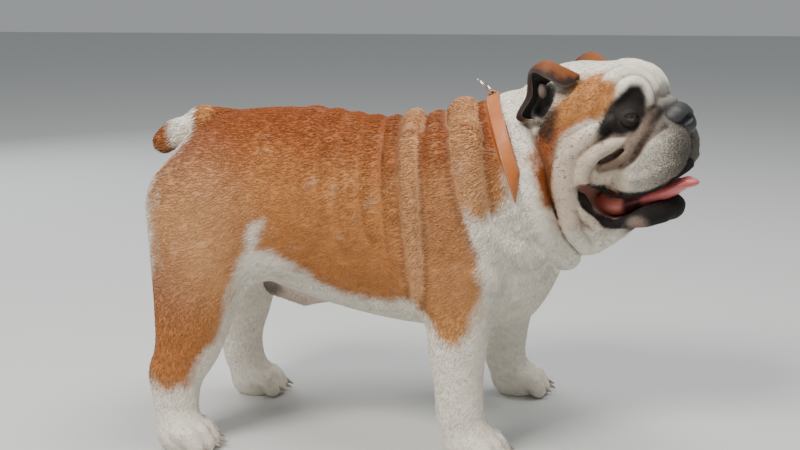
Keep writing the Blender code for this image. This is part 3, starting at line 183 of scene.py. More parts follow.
# Masses in pairs, one each side
HEAD_PAIRS = (
    ((-0.012, 0.058, -0.040), (0.048, 0.034, 0.058), 0.022),
    ((0.074, 0.022, -0.044), (0.032, 0.031, 0.033), 0.010),
    ((0.048, 0.036, -0.060), (0.048, 0.025, 0.037), 0.014),
    ((-0.004, 0.050, -0.104), (0.024, 0.022, 0.028), 0.010),
)
LOWER_JAW = ((0.030, 0.000, -0.117), (0.054, 0.044, 0.015), 0.014)
# Rim of the lower jaw from the corner of the mouth to the chin, as X, Y, Z and radius
JAW_RIM = ((-0.004, 0.058, -0.108, 0.012), (0.012, 0.052, -0.124, 0.008), (0.029, 0.047, -0.126, 0.006),
           (0.041, 0.045, -0.122, 0.0095), (0.059, 0.038, -0.118, 0.013), (0.073, 0.025, -0.1145, 0.0135),
           (0.078, 0.010, -0.1125, 0.0130), (0.078, -0.002, -0.1125, 0.0130))
# Loose skin of the throat, joined from the cheeks down to the chest
THROAT = ((-0.042, 0.000, -0.078), (0.050, 0.070, 0.060), 0.03)
DEWLAP = ((-0.030, 0.044, -0.080, 0.034), (-0.014, 0.036, -0.118, 0.028), (-0.012, 0.024, -0.142, 0.022),
          (-0.040, 0.020, -0.146, 0.024))
THROAT_FRONT = ((-0.012, 0.022, -0.140, 0.022), (0.010, 0.018, -0.138, 0.017),
                (0.030, 0.014, -0.124, 0.014))
# Gap of the mouth from its corner forwards, as X, Z and half its height
MOUTH = ((0.002, -0.082, 0.006), (0.010, -0.096, 0.012), (0.022, -0.107, 0.0130), (0.038, -0.107, 0.0095),
         (0.056, -0.100, 0.0062), (0.076, -0.094, 0.0072), (0.092, -0.088, 0.012), (0.130, -0.084, 0.015))
MOUTH_MIDDLE = (0.06, 0.0, -0.09)
MOUTH_REACH = 0.08
# Rounded edges of the upper and the lower lip
LIPS = (
    ((0.002, 0.080, -0.071, 0.0030), (0.017, 0.066, -0.083, 0.0032), (0.024, 0.054, -0.092, 0.0035),
     (0.038, 0.047, -0.095, 0.0040), (0.056, 0.045, -0.092, 0.0040), (0.074, 0.040, -0.085, 0.0040),
     (0.088, 0.031, -0.076, 0.0040), (0.098, 0.016, -0.068, 0.0040), (0.101, 0.000, -0.062, 0.0035)),
    ((-0.002, 0.073, -0.090, 0.0050), (0.004, 0.064, -0.106, 0.0055), (0.014, 0.055, -0.119, 0.0050),
     (0.028, 0.048, -0.124, 0.0040), (0.042, 0.046, -0.117, 0.0042), (0.058, 0.041, -0.109, 0.0044),
     (0.073, 0.027, -0.105, 0.0044), (0.080, 0.012, -0.103, 0.0044), (0.082, -0.002, -0.103, 0.0044)),
)

# Rolls of skin on each side of the head: joints as X, Y, Z and radius, laid on the surface
# nearest to them, and how much of the radius stands proud
FACE_ROLLS = (
    # Outer roll of the cheek, from behind the eye down to the throat
    (((0.032, 0.067, -0.008, 0.0060), (0.014, 0.085, -0.022, 0.0110), (-0.005, 0.092, -0.036, 0.0150),
      (-0.015, 0.091, -0.055, 0.0170), (-0.018, 0.087, -0.076, 0.0170), (-0.018, 0.077, -0.103, 0.0150),
      (-0.018, 0.056, -0.132, 0.0130), (-0.012, 0.042, -0.152, 0.0100)), 0.75, 0.003),
    # Inner roll, from under the eye round the corner of the mouth
    (((0.047, 0.056, -0.033, 0.0060), (0.034, 0.072, -0.035, 0.0090), (0.019, 0.084, -0.041, 0.0110),
      (0.006, 0.089, -0.052, 0.0120), (0.000, 0.087, -0.067, 0.0115), (-0.001, 0.079, -0.088, 0.0105),
      (0.000, 0.068, -0.108, 0.0095), (0.009, 0.059, -0.124, 0.0070)), 0.85, 0.003),
    # Roll from the side of the nose down behind the lip
    (((0.071, 0.034, -0.004, 0.0060), (0.065, 0.042, -0.013, 0.0070), (0.059, 0.051, -0.026, 0.0080),
      (0.050, 0.058, -0.041, 0.0085), (0.037, 0.066, -0.052, 0.0080), (0.024, 0.078, -0.056, 0.0060)),
     0.75, 0.003),
    # Roll over the bridge of the nose
    (((0.071, 0.034, -0.004, 0.0060), (0.077, 0.024, 0.004, 0.0080), (0.081, 0.010, 0.006, 0.0080),
      (0.082, -0.002, 0.006, 0.0080)), 0.60, 0.004),
    # Rolls of the brow
    (((0.036, 0.061, 0.014, 0.0060), (0.041, 0.056, 0.023, 0.0085), (0.047, 0.048, 0.029, 0.0095),
      (0.055, 0.041, 0.029, 0.0095), (0.062, 0.037, 0.021, 0.0085), (0.066, 0.036, 0.008, 0.0070)),
     0.80, 0.004),
    (((0.024, 0.058, 0.030, 0.0070), (0.031, 0.044, 0.040, 0.0095), (0.044, 0.031, 0.042, 0.0100),
      (0.057, 0.024, 0.035, 0.0090), (0.067, 0.021, 0.022, 0.0070)), 0.65, 0.005),
    (((0.022, 0.022, 0.054, 0.0080), (0.040, 0.013, 0.050, 0.0090), (0.055, 0.009, 0.040, 0.0080),
      (0.066, 0.007, 0.026, 0.0060)), 0.45, 0.006),
    # Creases of the temple, between the ear and the eye
    (((0.014, 0.070, 0.038, 0.0060), (0.016, 0.079, 0.020, 0.0075), (0.012, 0.085, 0.003, 0.0060)),
     0.35, 0.005),
    (((-0.004, 0.070, 0.044, 0.0060), (-0.004, 0.082, 0.024, 0.0080), (-0.008, 0.088, 0.000, 0.0060)),
     0.35, 0.005),
    # Lower pad of the lip
    (((0.092, 0.038, -0.058, 0.0060), (0.081, 0.050, -0.064, 0.0080), (0.066, 0.057, -0.071, 0.0080),
      (0.050, 0.060, -0.074, 0.0060)), 0.45, 0.005),
)
# Grooves cut between the rolls, given in the same way
FACE_GROOVES = (
    (((0.052, 0.056, -0.036, 0.0022), (0.037, 0.066, -0.046, 0.0024), (0.022, 0.080, -0.051, 0.0022)),
     0.2, 0.003),
    (((0.083, 0.036, -0.020, 0.0022), (0.071, 0.050, -0.027, 0.0026), (0.060, 0.057, -0.038, 0.0028),
      (0.053, 0.060, -0.050, 0.0026), (0.040, 0.064, -0.060, 0.0022)), 0.2, 0.003),
    (((0.104, 0.000, -0.024, 0.0020), (0.107, 0.000, -0.040, 0.0022), (0.103, 0.000, -0.060, 0.0022)),
     0.2, 0.003),
)

# Rolls of white skin on each side of the neck and chest, in the dog's frame
NECK_ROLLS = (
    (((0.134, 0.080, 0.380, 0.0100), (0.145, 0.097, 0.360, 0.0150), (0.154, 0.105, 0.337, 0.0180),
      (0.158, 0.104, 0.308, 0.0200), (0.161, 0.096, 0.279, 0.0215), (0.166, 0.078, 0.252, 0.0220),
      (0.172, 0.052, 0.233, 0.0210), (0.178, 0.022, 0.222, 0.0170)), 0.78, 0.003),
    (((0.108, 0.136, 0.266, 0.0080), (0.122, 0.132, 0.248, 0.0130), (0.142, 0.119, 0.236, 0.0150),
      (0.161, 0.102, 0.228, 0.0150), (0.178, 0.080, 0.240, 0.0120), (0.190, 0.062, 0.252, 0.0080)),
     0.35, 0.010),
    (((0.100, 0.142, 0.222, 0.0080), (0.125, 0.116, 0.194, 0.0130), (0.149, 0.093, 0.181, 0.0140),
      (0.165, 0.080, 0.190, 0.0120), (0.178, 0.066, 0.206, 0.0080)), 0.30, 0.010),
)

# Middle of the left eye, in the head's frame
EYE_CENTRE = (0.0430, 0.0465, -0.0070)
# Hollow under the ear and the burr in it, for the left one: middle and radii
EAR_HOLLOW = ((-0.045, 0.074, 0.021), (0.014, 0.012, 0.023))
EAR_BURR = ((-0.043, 0.072, 0.026), (0.0065, 0.0070, 0.0100))
# Rolls of skin round the trunk: X at the top of the back, at mid flank and low down,
# how far round the roll runs in degrees, radius, height that stands proud, and blend
TRUNK_ROLLS = (
    (-0.100, -0.092, -0.090, 96, 0.016, 0.0022, 0.009),
    (-0.074, -0.070, -0.066, 80, 0.014, 0.0020, 0.009),
    (-0.050, -0.045, -0.043, 100, 0.016, 0.0028, 0.009),
    (-0.028, -0.022, -0.008, 90, 0.014, 0.0030, 0.008),
    (-0.004, 0.003, 0.012, 100, 0.011, 0.0036, 0.006),
    (0.018, 0.024, 0.037, 124, 0.013, 0.0090, 0.003),
    (0.046, 0.053, 0.066, 92, 0.012, 0.0026, 0.006),
    (0.076, 0.086, 0.122, 100, 0.021, 0.0105, 0.003),
)
TRUNK_AXIS_HEIGHT = 0.262


def smooth_min(a, b, blend):
    """The smaller of two distances, rounded off where they are alike."""
    share = np.clip(0.5 + 0.5 * (b - a) / blend, 0.0, 1.0)
    return b + (a - b) * share - blend * share * (1.0 - share)


def smooth_max(a, b, blend):
    """The larger of two distances, rounded off where they are alike."""
    return -smooth_min(-a, -b, blend)


def smooth_curve(x, stations, values):
    """A smooth curve through values given at stations."""
    stations = np.asarray(stations)
    values = np.asarray(values)
    slopes = np.gradient(values, stations)
    x = np.clip(x, stations[0], stations[-1])
    i = np.clip(np.searchsorted(stations, x) - 1, 0, len(stations) - 2)
    width = stations[i + 1] - stations[i]
    t = (x - stations[i]) / width
    rise = values[i] * (2 * t**3 - 3 * t**2 + 1) + values[i + 1] * (3 * t**2 - 2 * t**3)
    return rise + width * (slopes[i] * (t**3 - 2 * t**2 + t) + slopes[i + 1] * (t**3 - t**2))


def ellipsoid(points, centre, radii):
    """Distance to an ellipsoid, close to true near its surface."""
    offset = points - np.asarray(centre)
    scaled = np.linalg.norm(offset / radii, axis=1)
    steeper = np.linalg.norm(offset / np.square(radii), axis=1)
    return scaled * (scaled - 1.0) / np.maximum(steeper, 1e-9)


def tapered_rod(points, start, end):
    """Distance to the skin round all balls rolled from one end to the other."""
    offset = points - np.asarray(start[:3])
    along = np.asarray(end[:3]) - np.asarray(start[:3])
    length = max(np.linalg.norm(along), 1e-9)
    along = along / length
    slope = np.clip((end[3] - start[3]) / length, -0.95, 0.95)
    forward = offset @ along
    aside = np.linalg.norm(offset - forward[:, None] * along, axis=1)
    middle = np.clip(forward + slope * aside / math.sqrt(1.0 - slope**2), 0.0, length)
    return np.hypot(aside, forward - middle) - (start[3] + slope * middle)


def chain_distance(points, joints):
    """Distance to a chain of tapered rods."""
    distance = np.full(len(points), 1.0)
    for start, end in zip(joints, joints[1:]):
        distance = np.minimum(distance, tapered_rod(points, start, end))
    return distance


def on_side(joints, side):
    """The joints of a chain, given for the left, on one side: 1 for the left, -1 for the right."""
    return [(x, side * y, z, radius) for x, y, z, radius in joints]


def folded(points):
    """Places with those on the right mirrored to the left."""
    return np.column_stack((points[:, 0], np.abs(points[:, 1]), points[:, 2]))


class Form:
    """A growing solid: the signed distance to it at each of a set of points."""

    def __init__(self, points):
        self.points = points
        self.distance = np.full(len(points), 1.0)

    def reach(self, centre, radius):
        """Which of the points lie near a ball."""
        offset = self.points - np.asarray(centre)
        return np.flatnonzero(np.einsum("ij,ij->i", offset, offset) < (radius + FAR) ** 2)

    def add(self, near, distance, blend):
        self.distance[near] = smooth_min(self.distance[near], distance, blend)

    def cut(self, near, distance, blend):
        self.distance[near] = smooth_max(self.distance[near], -distance, blend)

    def add_ellipsoid(self, centre, radii, blend):
        near = self.reach(centre, max(radii))
        self.add(near, ellipsoid(self.points[near], centre, radii), blend)

    def add_chain(self, joints, blend, cut=False, breadth=1.0):
        """A chain of tapered rods; breadth widens it along Y about its first joint."""
        middle = np.mean([joint[:3] for joint in joints], axis=0)
        longest = max(np.linalg.norm(np.subtract(joint[:3], middle)) + joint[3] for joint in joints)
        near = self.reach(middle, longest * max(breadth, 1.0))
        points = self.points[near].copy()
        points[:, 1] = joints[0][1] + (points[:, 1] - joints[0][1]) / breadth
        distance = chain_distance(points, joints)
        if cut:
            self.cut(near, distance, blend)
        else:
            self.add(near, distance, blend)


def add_trunk(form):
    """The barrel of the body, lofted through the stations."""
    near = form.reach(TRUNK_MIDDLE, TRUNK_REACH)
    points = form.points[near]
    station, top, bottom, width = np.array(TRUNK).T
    x = points[:, 0]
    top = smooth_curve(x, station, top)
    bottom = smooth_curve(x, station, bottom)
    half = 0.5 * (top - bottom)
    width = smooth_curve(x, station, width)
    y = points[:, 1] / width
    z = (points[:, 2] - 0.5 * (top + bottom)) / half
    scaled = np.sqrt(y**2 + z**2)
    steeper = np.sqrt((y / width) ** 2 + (z / half) ** 2)
    barrel = scaled * (scaled - 1.0) / np.maximum(steeper, 1e-9)
    ends = np.maximum(TRUNK_ENDS[0] - x, x - TRUNK_ENDS[1])
    form.add(near, smooth_max(barrel, ends, TRUNK_END_ROUNDING), 0.01)


def paw_frame(paw):
    """Maps a place in a paw, forward, sideways and up, to the dog's frame."""
    x, y, length, width, turn = paw
    angle = math.radians(turn) * (1 if y > 0 else -1)
    forward = np.array((math.cos(angle), math.sin(angle), 0.0))
    side = np.array((-math.sin(angle), math.cos(angle), 0.0))

    def place(ahead, aside, up):
        return np.array((x, y, up)) + ahead * length * forward + aside * width * side

    return place


def toe_joints(paw):
    """The four toes of a paw: knuckle, middle joint and tip of each."""
    place = paw_frame(paw)
    for aside, ahead in TOES:
        knuckle = (*place(ahead - 0.30, aside * 0.85, KNUCKLE_HEIGHT), TOE_RADIUS)
        joint = (*place(ahead - 0.10, aside, TOE_HEIGHT), TOE_RADIUS)
        tip = (*place(ahead, aside * 1.02, TOE_RADIUS * 0.85), TOE_RADIUS * 0.9)
        yield knuckle, joint, tip


def add_leg(form, joints, paw, blend):
    """One leg and its paw with four toes."""
    form.add_chain(resample(joints, 20), blend, breadth=LEG_BREADTH)
    middle = paw_frame(paw)(-0.04, 0.0, 0.016)
    form.add_ellipsoid(middle, (paw[2] * 0.42, paw[3] * 0.42, PAW_HEIGHT * 0.58), 0.014)
    for toe in toe_joints(paw):
        form.add_chain(toe, 0.003)


def add_body(form):
    """Trunk, neck and legs, without the rolls of skin."""
    add_trunk(form)
    form.add_ellipsoid(*BREAST)
    form.add_chain(NECK, 0.025, breadth=NECK_BREADTH)
    for (x, y, z), radii, blend, ahead in LIMB_MASSES:
        form.add_ellipsoid((x, -y, z), radii, blend)
        form.add_ellipsoid((x + ahead, y, z), radii, blend)
    for name in FORELEGS:
        add_leg(form, FORELEGS[name], FOREPAWS[name], 0.02)
        add_leg(form, HINDLEGS[name], HINDPAWS[name], 0.03)
        x, y, z, radius = HINDLEGS[name][HOCK_JOINT]
        form.add_ellipsoid((x - radius + HEEL_INSET, y, z), HEEL_RADII, 0.014)
    form.add_chain(SHEATH, 0.015)


def head_axes():
    """Rows are the head's forward, left and up directions."""
    cos_yaw, sin_yaw = math.cos(HEAD_YAW), math.sin(HEAD_YAW)
    cos_pitch, sin_pitch = math.cos(HEAD_PITCH), math.sin(HEAD_PITCH)
    forward = np.array((cos_yaw * cos_pitch, sin_yaw * cos_pitch, sin_pitch))
    left = np.array((-sin_yaw, cos_yaw, 0.0))
    return np.stack((forward, left, np.cross(forward, left)))


HEAD_AXES = head_axes()


def to_head(points):
    """From the dog's frame to the head's."""
    return (np.asarray(points) - HEAD_ORIGIN) @ HEAD_AXES.T


def from_head(points):
    """From the head's frame to the dog's."""
    return np.asarray(points) @ HEAD_AXES + HEAD_ORIGIN


def add_head(form):
    """Skull, cheeks, muzzle, lower jaw and the open mouth, in the head's frame."""
    for centre, radii, blend in HEAD_MASSES:
        form.add_ellipsoid(centre, radii, blend)
    for (x, y, z), radii, blend in HEAD_PAIRS:
        for side in (-1, 1):
            form.add_ellipsoid((x, side * y, z), radii, blend)
    form.add_ellipsoid(*LOWER_JAW)
    form.add_ellipsoid(*THROAT)
    for side in (-1, 1):
        for joints, blend in ((DEWLAP, 0.014), (THROAT_FRONT, 0.014), (JAW_RIM, 0.008)):
            form.add_chain(on_side(joints, side), blend)


def mouth_distance(points):
    """Distance to the gap between the lips, which is open right across the mouth."""
    joints = [(x, 0.0, z, radius) for x, z, radius in MOUTH]
    return chain_distance(points * (1.0, 0.0, 1.0), joints)


def skin_depth(base, origins, directions, reach):
    """Where rays from far outside first meet the skin, as a distance from each origin."""
    steps = np.linspace(reach, 0.0, 121)
    samples = origins[:, None, :] + steps[None, :, None] * directions[:, None, :]
    values = base(samples.reshape(-1, 3)).reshape(len(origins), -1)
    inside = values < 0.0
    first = np.clip(np.argmax(inside, axis=1), 1, len(steps) - 1)
    row = np.arange(len(origins))
    outer, inner = values[row, first - 1], values[row, first]
    share = np.clip(outer / np.maximum(outer - inner, 1e-9), 0.0, 1.0)
    depth = steps[first - 1] + (steps[first] - steps[first - 1]) * share
    return np.where(inside.any(axis=1), depth, 0.0)


def resample(path, count):
    """Points at even steps along a smooth curve through a short path."""
    path = np.asarray(path, dtype=float)
    length = np.concatenate(([0.0], np.cumsum(np.linalg.norm(np.diff(path, axis=0), axis=1))))
    even = np.linspace(0.0, length[-1], count)
    return np.stack([smooth_curve(even, length, column) for column in path.T], axis=1)


def roll_joints(base, origins, directions, radius, proud, reach):
    """A roll of skin laid on the body: its joints, thinner towards both ends."""
    depth = skin_depth(base, origins, directions, reach)
    taper = np.sin(np.linspace(0.0, 1.0, len(origins)) * math.pi).clip(0.0, 1.0) ** 0.5
    radii = radius * (0.5 + 0.5 * taper)
    middle = depth + proud * taper - radii
    return np.column_stack((origins + middle[:, None] * directions, radii))


def trunk_base(points):
    """Distance to trunk, neck and legs, before any rolls."""
    form = Form(points)
    add_body(form)
    return form.distance


def head_base(points):
    """Distance to the head, before any rolls, from places in its own frame."""
    form = Form(points)
    add_head(form)
    return form.distance


def body_base(points):
    """Trunk and head together, before any rolls."""
    return smooth_min(trunk_base(points), head_base(to_head(points)), HEAD_BLEND)


def trunk_rolls():
    """Rolls that run over the back and down both sides."""
    rolls = []
    for top, middle, low, spread, radius, proud, blend in TRUNK_ROLLS:
        angles = np.radians(np.linspace(-spread, spread, 41))
        share = np.abs(angles) / math.radians(118)
        x = smooth_curve(share, (0.0, 0.5, 1.0), (top, middle, low))
        origins = np.column_stack((x, np.zeros_like(x), np.full_like(x, TRUNK_AXIS_HEIGHT)))
        directions = np.column_stack((np.zeros_like(x), np.sin(angles), np.cos(angles)))
        rolls.append((roll_joints(trunk_base, origins, directions, radius, proud, 0.24), blend))
    return rolls


def laid_roll(base, joints, side, proud):
    """A roll laid on the skin nearest to its joints: part of its radius stands proud."""
    even = resample(joints, 18)
    places = even[:, :3] * (1.0, side, 1.0)
    radii = even[:, 3]
    step = 0.0005
    for _ in range(5):
        rises = [base(places + step * way) - base(places - step * way) for way in np.eye(3)]
        slope = np.stack(rises, axis=1)
        slope /= np.linalg.norm(slope, axis=1, keepdims=True)
        places = places - slope * base(places)[:, None]
    return np.column_stack((places + slope * ((proud - 1.0) * radii)[:, None], radii))


def laid_on_both_sides(base, rolls):
    """Each roll on the left and the right, with its blend."""
    laid = []
    for joints, proud, blend in rolls:
        for side in (-1, 1):
            laid.append((laid_roll(base, joints, side, proud), blend))
    return laid


TRUNK_ROLL_JOINTS = trunk_rolls()
NECK_ROLL_JOINTS = laid_on_both_sides(body_base, NECK_ROLLS)
FACE_ROLL_JOINTS = laid_on_both_sides(head_base, FACE_ROLLS)
FACE_GROOVE_JOINTS = laid_on_both_sides(head_base, FACE_GROOVES)


def dog(points):
    """Signed distance to the skin of the whole dog."""
    form = Form(points)
    add_body(form)
    for joints, blend in TRUNK_ROLL_JOINTS:
        form.add_chain(joints, blend)
    near = form.reach(HEAD_ORIGIN + (0.0, 0.0, -0.04), 0.15)
    head = Form(to_head(points[near]))
    add_head(head)
    for joints, blend in FACE_ROLL_JOINTS:
        head.add_chain(joints, blend)
    for joints, blend in FACE_GROOVE_JOINTS:
        head.add_chain(joints, blend, cut=True)
    near_mouth = head.reach(MOUTH_MIDDLE, MOUTH_REACH)
    head.cut(near_mouth, mouth_distance(head.points[near_mouth]), 0.004)
    for side in (-1, 1):
        for lip in LIPS:
            head.add_chain(on_side(lip, side), 0.004)
        (x, y, z), radii = EAR_HOLLOW
        near_ear = head.reach((x, side * y, z), max(radii))
        head.cut(near_ear, ellipsoid(head.points[near_ear], (x, side * y, z), radii), 0.005)
        (x, y, z), radii = EAR_BURR
        head.add_ellipsoid((x, side * y, z), radii, 0.003)
    form.add(near, head.distance, HEAD_BLEND)
    for joints, blend in NECK_ROLL_JOINTS:
        form.add_chain(joints, blend)
    return form.distance


CUBE_CORNERS = np.array([(i, j, k) for i in (0, 1) for j in (0, 1) for k in (0, 1)])
CUBE_EDGES = [(a, b) for a in range(8) for b in range(a + 1, 8)
              if np.abs(CUBE_CORNERS[a] - CUBE_CORNERS[b]).sum() == 1]


def in_one_piece(corners):
    """Whether a set of a cube's corners hangs together along the cube's edges."""
    if not corners:
        return True
    reached = {min(corners)}
    for _ in range(8):
        for a, b in CUBE_EDGES:
            if a in corners and b in corners and (a in reached or b in reached):
                reached |= {a, b}
    return reached == corners


def is_pinched(pattern):
    """Whether the surface would touch itself in a cube with these corners inside."""
    inside = {corner for corner in range(8) if pattern >> corner & 1}
    return not (in_one_piece(inside) and in_one_piece(set(range(8)) - inside))


PINCHED = np.array([is_pinched(pattern) for pattern in range(256)])


def surface_cells(distance, low, high, size, halvings):
    """Small cubes near the surface, found by halving large ones."""
    coarse = size * 2**halvings
    counts = np.ceil((high - low) / coarse).astype(int)
    cells = np.stack(np.meshgrid(*[np.arange(n) for n in counts], indexing="ij"), axis=-1).reshape(-1, 3)
    for level in range(halvings + 1):
        step = coarse / 2**level
        values = np.abs(distance(low + (cells + 0.5) * step))
        cells = cells[values < step * 1.5]
        if level < halvings:
            cells = (cells[:, None, :] * 2 + CUBE_CORNERS).reshape(-1, 3)
    return cells


def skin_mesh(distance, low, high, size, halvings=3):
    """Quads on the zero surface of a signed distance: one corner in each cube it crosses."""
    low, high = np.asarray(low), np.asarray(high)
    cells = surface_cells(distance, low, high, size, halvings)
    span = int(cells.max()) + 3

    def key(index):
        return (index[..., 0] * span + index[..., 1]) * span + index[..., 2]

    corners = (cells[:, None, :] + CUBE_CORNERS).reshape(-1, 3)
    _, first, inverse = np.unique(key(corners), return_index=True, return_inverse=True)
    inverse = inverse.reshape(-1, 8)
    corner_values = distance(low + corners[first] * size)
    # Where the surface would touch itself inside a cube, the smaller part gives way
    for _ in range(30):
        inside = corner_values[inverse] < 0.0
        pinched = PINCHED[inside @ (1 << np.arange(8))]
        mostly_inside = inside.sum(axis=1) > 4
        emptied = inverse[pinched & ~mostly_inside]
        filled = inverse[pinched & mostly_inside]
        corner_values[emptied] = np.maximum(corner_values[emptied], 1e-5)
        corner_values[filled] = np.minimum(corner_values[filled], -1e-5)
    values = corner_values[inverse]
    inside = values < 0.0
    mixed = inside.any(axis=1) & ~inside.all(axis=1)
    cells, values, inside = cells[mixed], values[mixed], inside[mixed]
    order = np.argsort(key(cells))
    cells, values, inside = cells[order], values[order], inside[order]
    keys = key(cells)
    total = np.zeros((len(cells), 3))
    crossings = np.zeros(len(cells))
    for a, b in CUBE_EDGES:
        crossed = inside[:, a] != inside[:, b]
        share = values[crossed, a] / (values[crossed, a] - values[crossed, b])
        total[crossed] += CUBE_CORNERS[a] + share[:, None] * (CUBE_CORNERS[b] - CUBE_CORNERS[a])
        crossings[crossed] += 1
    vertices = low + (cells + total / crossings[:, None]) * size
    faces = []
    for axis, far_corner in ((0, 4), (1, 2), (2, 1)):
        u, v = np.eye(3, dtype=int)[(axis + 1) % 3], np.eye(3, dtype=int)[(axis + 2) % 3]
        crossed = inside[:, 0] != inside[:, far_corner]
        own = cells[crossed]
        around = np.stack([key(own), key(own - u), key(own - u - v), key(own - v)], axis=1)
        quads = np.searchsorted(keys, around)
        outward = inside[crossed, 0][:, None]
        faces.append(np.where(outward, quads, quads[:, ::-1]))
    return vertices, np.concatenate(faces)


eye_low, eye_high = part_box("eye_left")
ROW_SHIFT = (np.array(eye_low) + np.array(eye_high)) / 2 - from_head(EYE_CENTRE)


def dog_skin(points):
    """Signed distance to the bare skin, tail and all, under the coat."""
    form = Form(points)
    form.distance = dog(points)
    form.add_chain(resample(TAIL, 12), 0.002)
    return form.distance + COAT_DEPTH


def mesh_object(name, vertices, faces):
    """A mesh object in the row's frame from arrays of corners and of faces with equal sides."""
    faces = np.asarray(faces, dtype=np.int32)
    mesh = bpy.data.meshes.new(name)
    mesh.vertices.add(len(vertices))
    mesh.vertices.foreach_set("co", np.asarray(vertices, dtype=np.float32).ravel())
    mesh.loops.add(faces.size)
    mesh.loops.foreach_set("vertex_index", faces.ravel())
    mesh.polygons.add(len(faces))
    mesh.polygons.foreach_set("loop_start", np.arange(0, faces.size, faces.shape[1], dtype=np.int32))
    mesh.update(calc_edges=True)
    mesh.shade_smooth()
    made = bpy.data.objects.new(name, mesh)
    bpy.context.collection.objects.link(made)
    return made


def corner_normals(vertices, faces):
    """Outward directions at the corners of a mesh of quads."""
    a, b, c, d = (vertices[faces[:, corner]] for corner in range(4))
    across = np.cross(c - a, d - b)
    normals = np.zeros_like(vertices)
    for corner in range(4):
        np.add.at(normals, faces[:, corner], across)
    return normals / np.maximum(np.linalg.norm(normals, axis=1, keepdims=True), 1e-12)


# Box that holds the whole dog, in the frame of its sizes, and the least height over the floor
SKIN_BOX = ((-0.33, -0.21, -0.03), (0.41, 0.21, 0.50))
ABOVE_FLOOR = 0.00015
skin_places, skin_faces = skin_mesh(dog_skin, *SKIN_BOX, SKIN_CELL)
skin_places[:, 2] = np.maximum(skin_places[:, 2], ABOVE_FLOOR - ROW_SHIFT[2])
skin_normals = corner_normals(skin_places, skin_faces)

# Markings of the skin and coat: an orange saddle on white from the tail to the collar and down
# over thigh and shoulder, orange temples, dark round the eyes, and a grey and black muzzle.
# Each outline is a list of places as X and Z, on the right side first and then on the left.
SADDLE = (
    (-0.340, 0.420), (0.120, 0.440), (0.127, 0.380), (0.129, 0.343), (0.129, 0.326), (0.128, 0.308),
    (0.122, 0.288), (0.099, 0.284), (0.086, 0.292), (0.090, 0.270), (0.097, 0.248), (0.102, 0.227),
    (0.105, 0.204), (0.101, 0.180), (0.092, 0.160), (0.078, 0.143), (0.057, 0.147), (0.042, 0.171),
    (0.030, 0.188), (-0.001, 0.178), (-0.041, 0.179), (-0.080, 0.191), (-0.109, 0.213), (-0.129, 0.230),
    (-0.150, 0.235), (-0.142, 0.268), (-0.155, 0.266), (-0.162, 0.236), (-0.175, 0.213), (-0.186, 0.172),
    (-0.198, 0.130), (-0.218, 0.108), (-0.232, 0.080), (-0.252, 0.064), (-0.340, 0.064),
)
FAR_SADDLE = (
    (-0.340, 0.420), (0.110, 0.440), (0.116, 0.340), (0.120, 0.290), (0.094, 0.285), (0.098, 0.230),
    (0.080, 0.205), (0.030, 0.196), (-0.041, 0.182), (-0.105, 0.208), (-0.150, 0.238), (-0.190, 0.220),
    (-0.240, 0.205), (-0.340, 0.225),
)
# White breeches behind: height, and half their width, up to their top and as far forward as this
BREECHES = (
    (0.060, 0.150), (0.090, 0.112), (0.120, 0.090), (0.160, 0.084), (0.200, 0.098), (0.218, 0.110),
    (0.247, 0.108), (0.284, 0.104), (0.311, 0.092), (0.342, 0.074), (0.358, 0.046), (0.370, 0.000),
)
BREECHES_FRONT = -0.235
# Outlines on the side of the head, in its own frame; the last is nearly black, below the ear
TEMPLE = (
    (-0.046, -0.014), (-0.028, 0.010), (-0.008, 0.038), (0.019, 0.040), (0.038, 0.024), (0.031, 0.004),
    (0.022, -0.007), (0.000, -0.014), (-0.017, -0.024), (-0.024, -0.050), (-0.027, -0.080), (-0.031, -0.104),
    (-0.040, -0.098), (-0.046, -0.070), (-0.050, -0.040),
)
EYE_PATCH = (
    (0.022, -0.026), (0.022, -0.010), (0.030, 0.008), (0.040, 0.019), (0.050, 0.027), (0.060, 0.027),
    (0.066, 0.014), (0.064, -0.008), (0.054, -0.022), (0.044, -0.026), (0.034, -0.024), (0.026, -0.032),
)
EAR_SHADOW = (
    (-0.056, 0.012), (-0.034, 0.020), (-0.022, 0.006), (-0.024, -0.016), (-0.034, -0.030), (-0.048, -0.020),
)
# Rounded spots, as middle and radii: on the trunk and legs
PALE_THIGH = ((-0.242, 0.0, 0.262), (0.085, 1.0, 0.095))
PALE_SHOULDER = ((0.082, 0.0, 0.258), (0.060, 1.0, 0.090))
DEEP_FLANK = ((-0.030, 0.0, 0.262), (0.150, 1.0, 0.100))
DEEP_THIGH = ((-0.262, -0.112, 0.140), (0.066, 0.066, 0.096))
SHEATH_SKIN = ((-0.128, 0.0, 0.158), (0.050, 0.030, 0.030))
# Painted shadow on the belly beside the sheath
GROIN_SHADOW = ((-0.158, -0.012, 0.176), (0.022, 0.026, 0.018))
# and on the head, in its own frame
EYE_SKIN = (EYE_CENTRE, (0.020, 0.030, 0.015))
DARK_BRIDGE = ((0.080, 0.0, -0.008), (0.034, 0.052, 0.030))
PINK_CHIN = ((0.052, 0.0, -0.124), (0.014, 0.060, 0.010))
# How far past the upper and the lower lip their black reaches
LIP_BLACK = (0.0020, 0.0045)
# Where the tail leaves the rump, along X, and how far it reaches back
TAIL_ROOT = -0.204
TAIL_LENGTH = 0.080

# The collar lies round the neck on this plane, and the head's own markings begin ahead of it
COLLAR_CENTRE = np.array((0.1355, -0.002, 0.326))
COLLAR_AXIS = (0.944, 0.0, 0.330)
HEAD_CUT = ((0.200, 0.0, 0.240), (0.914, 0.0, 0.406))


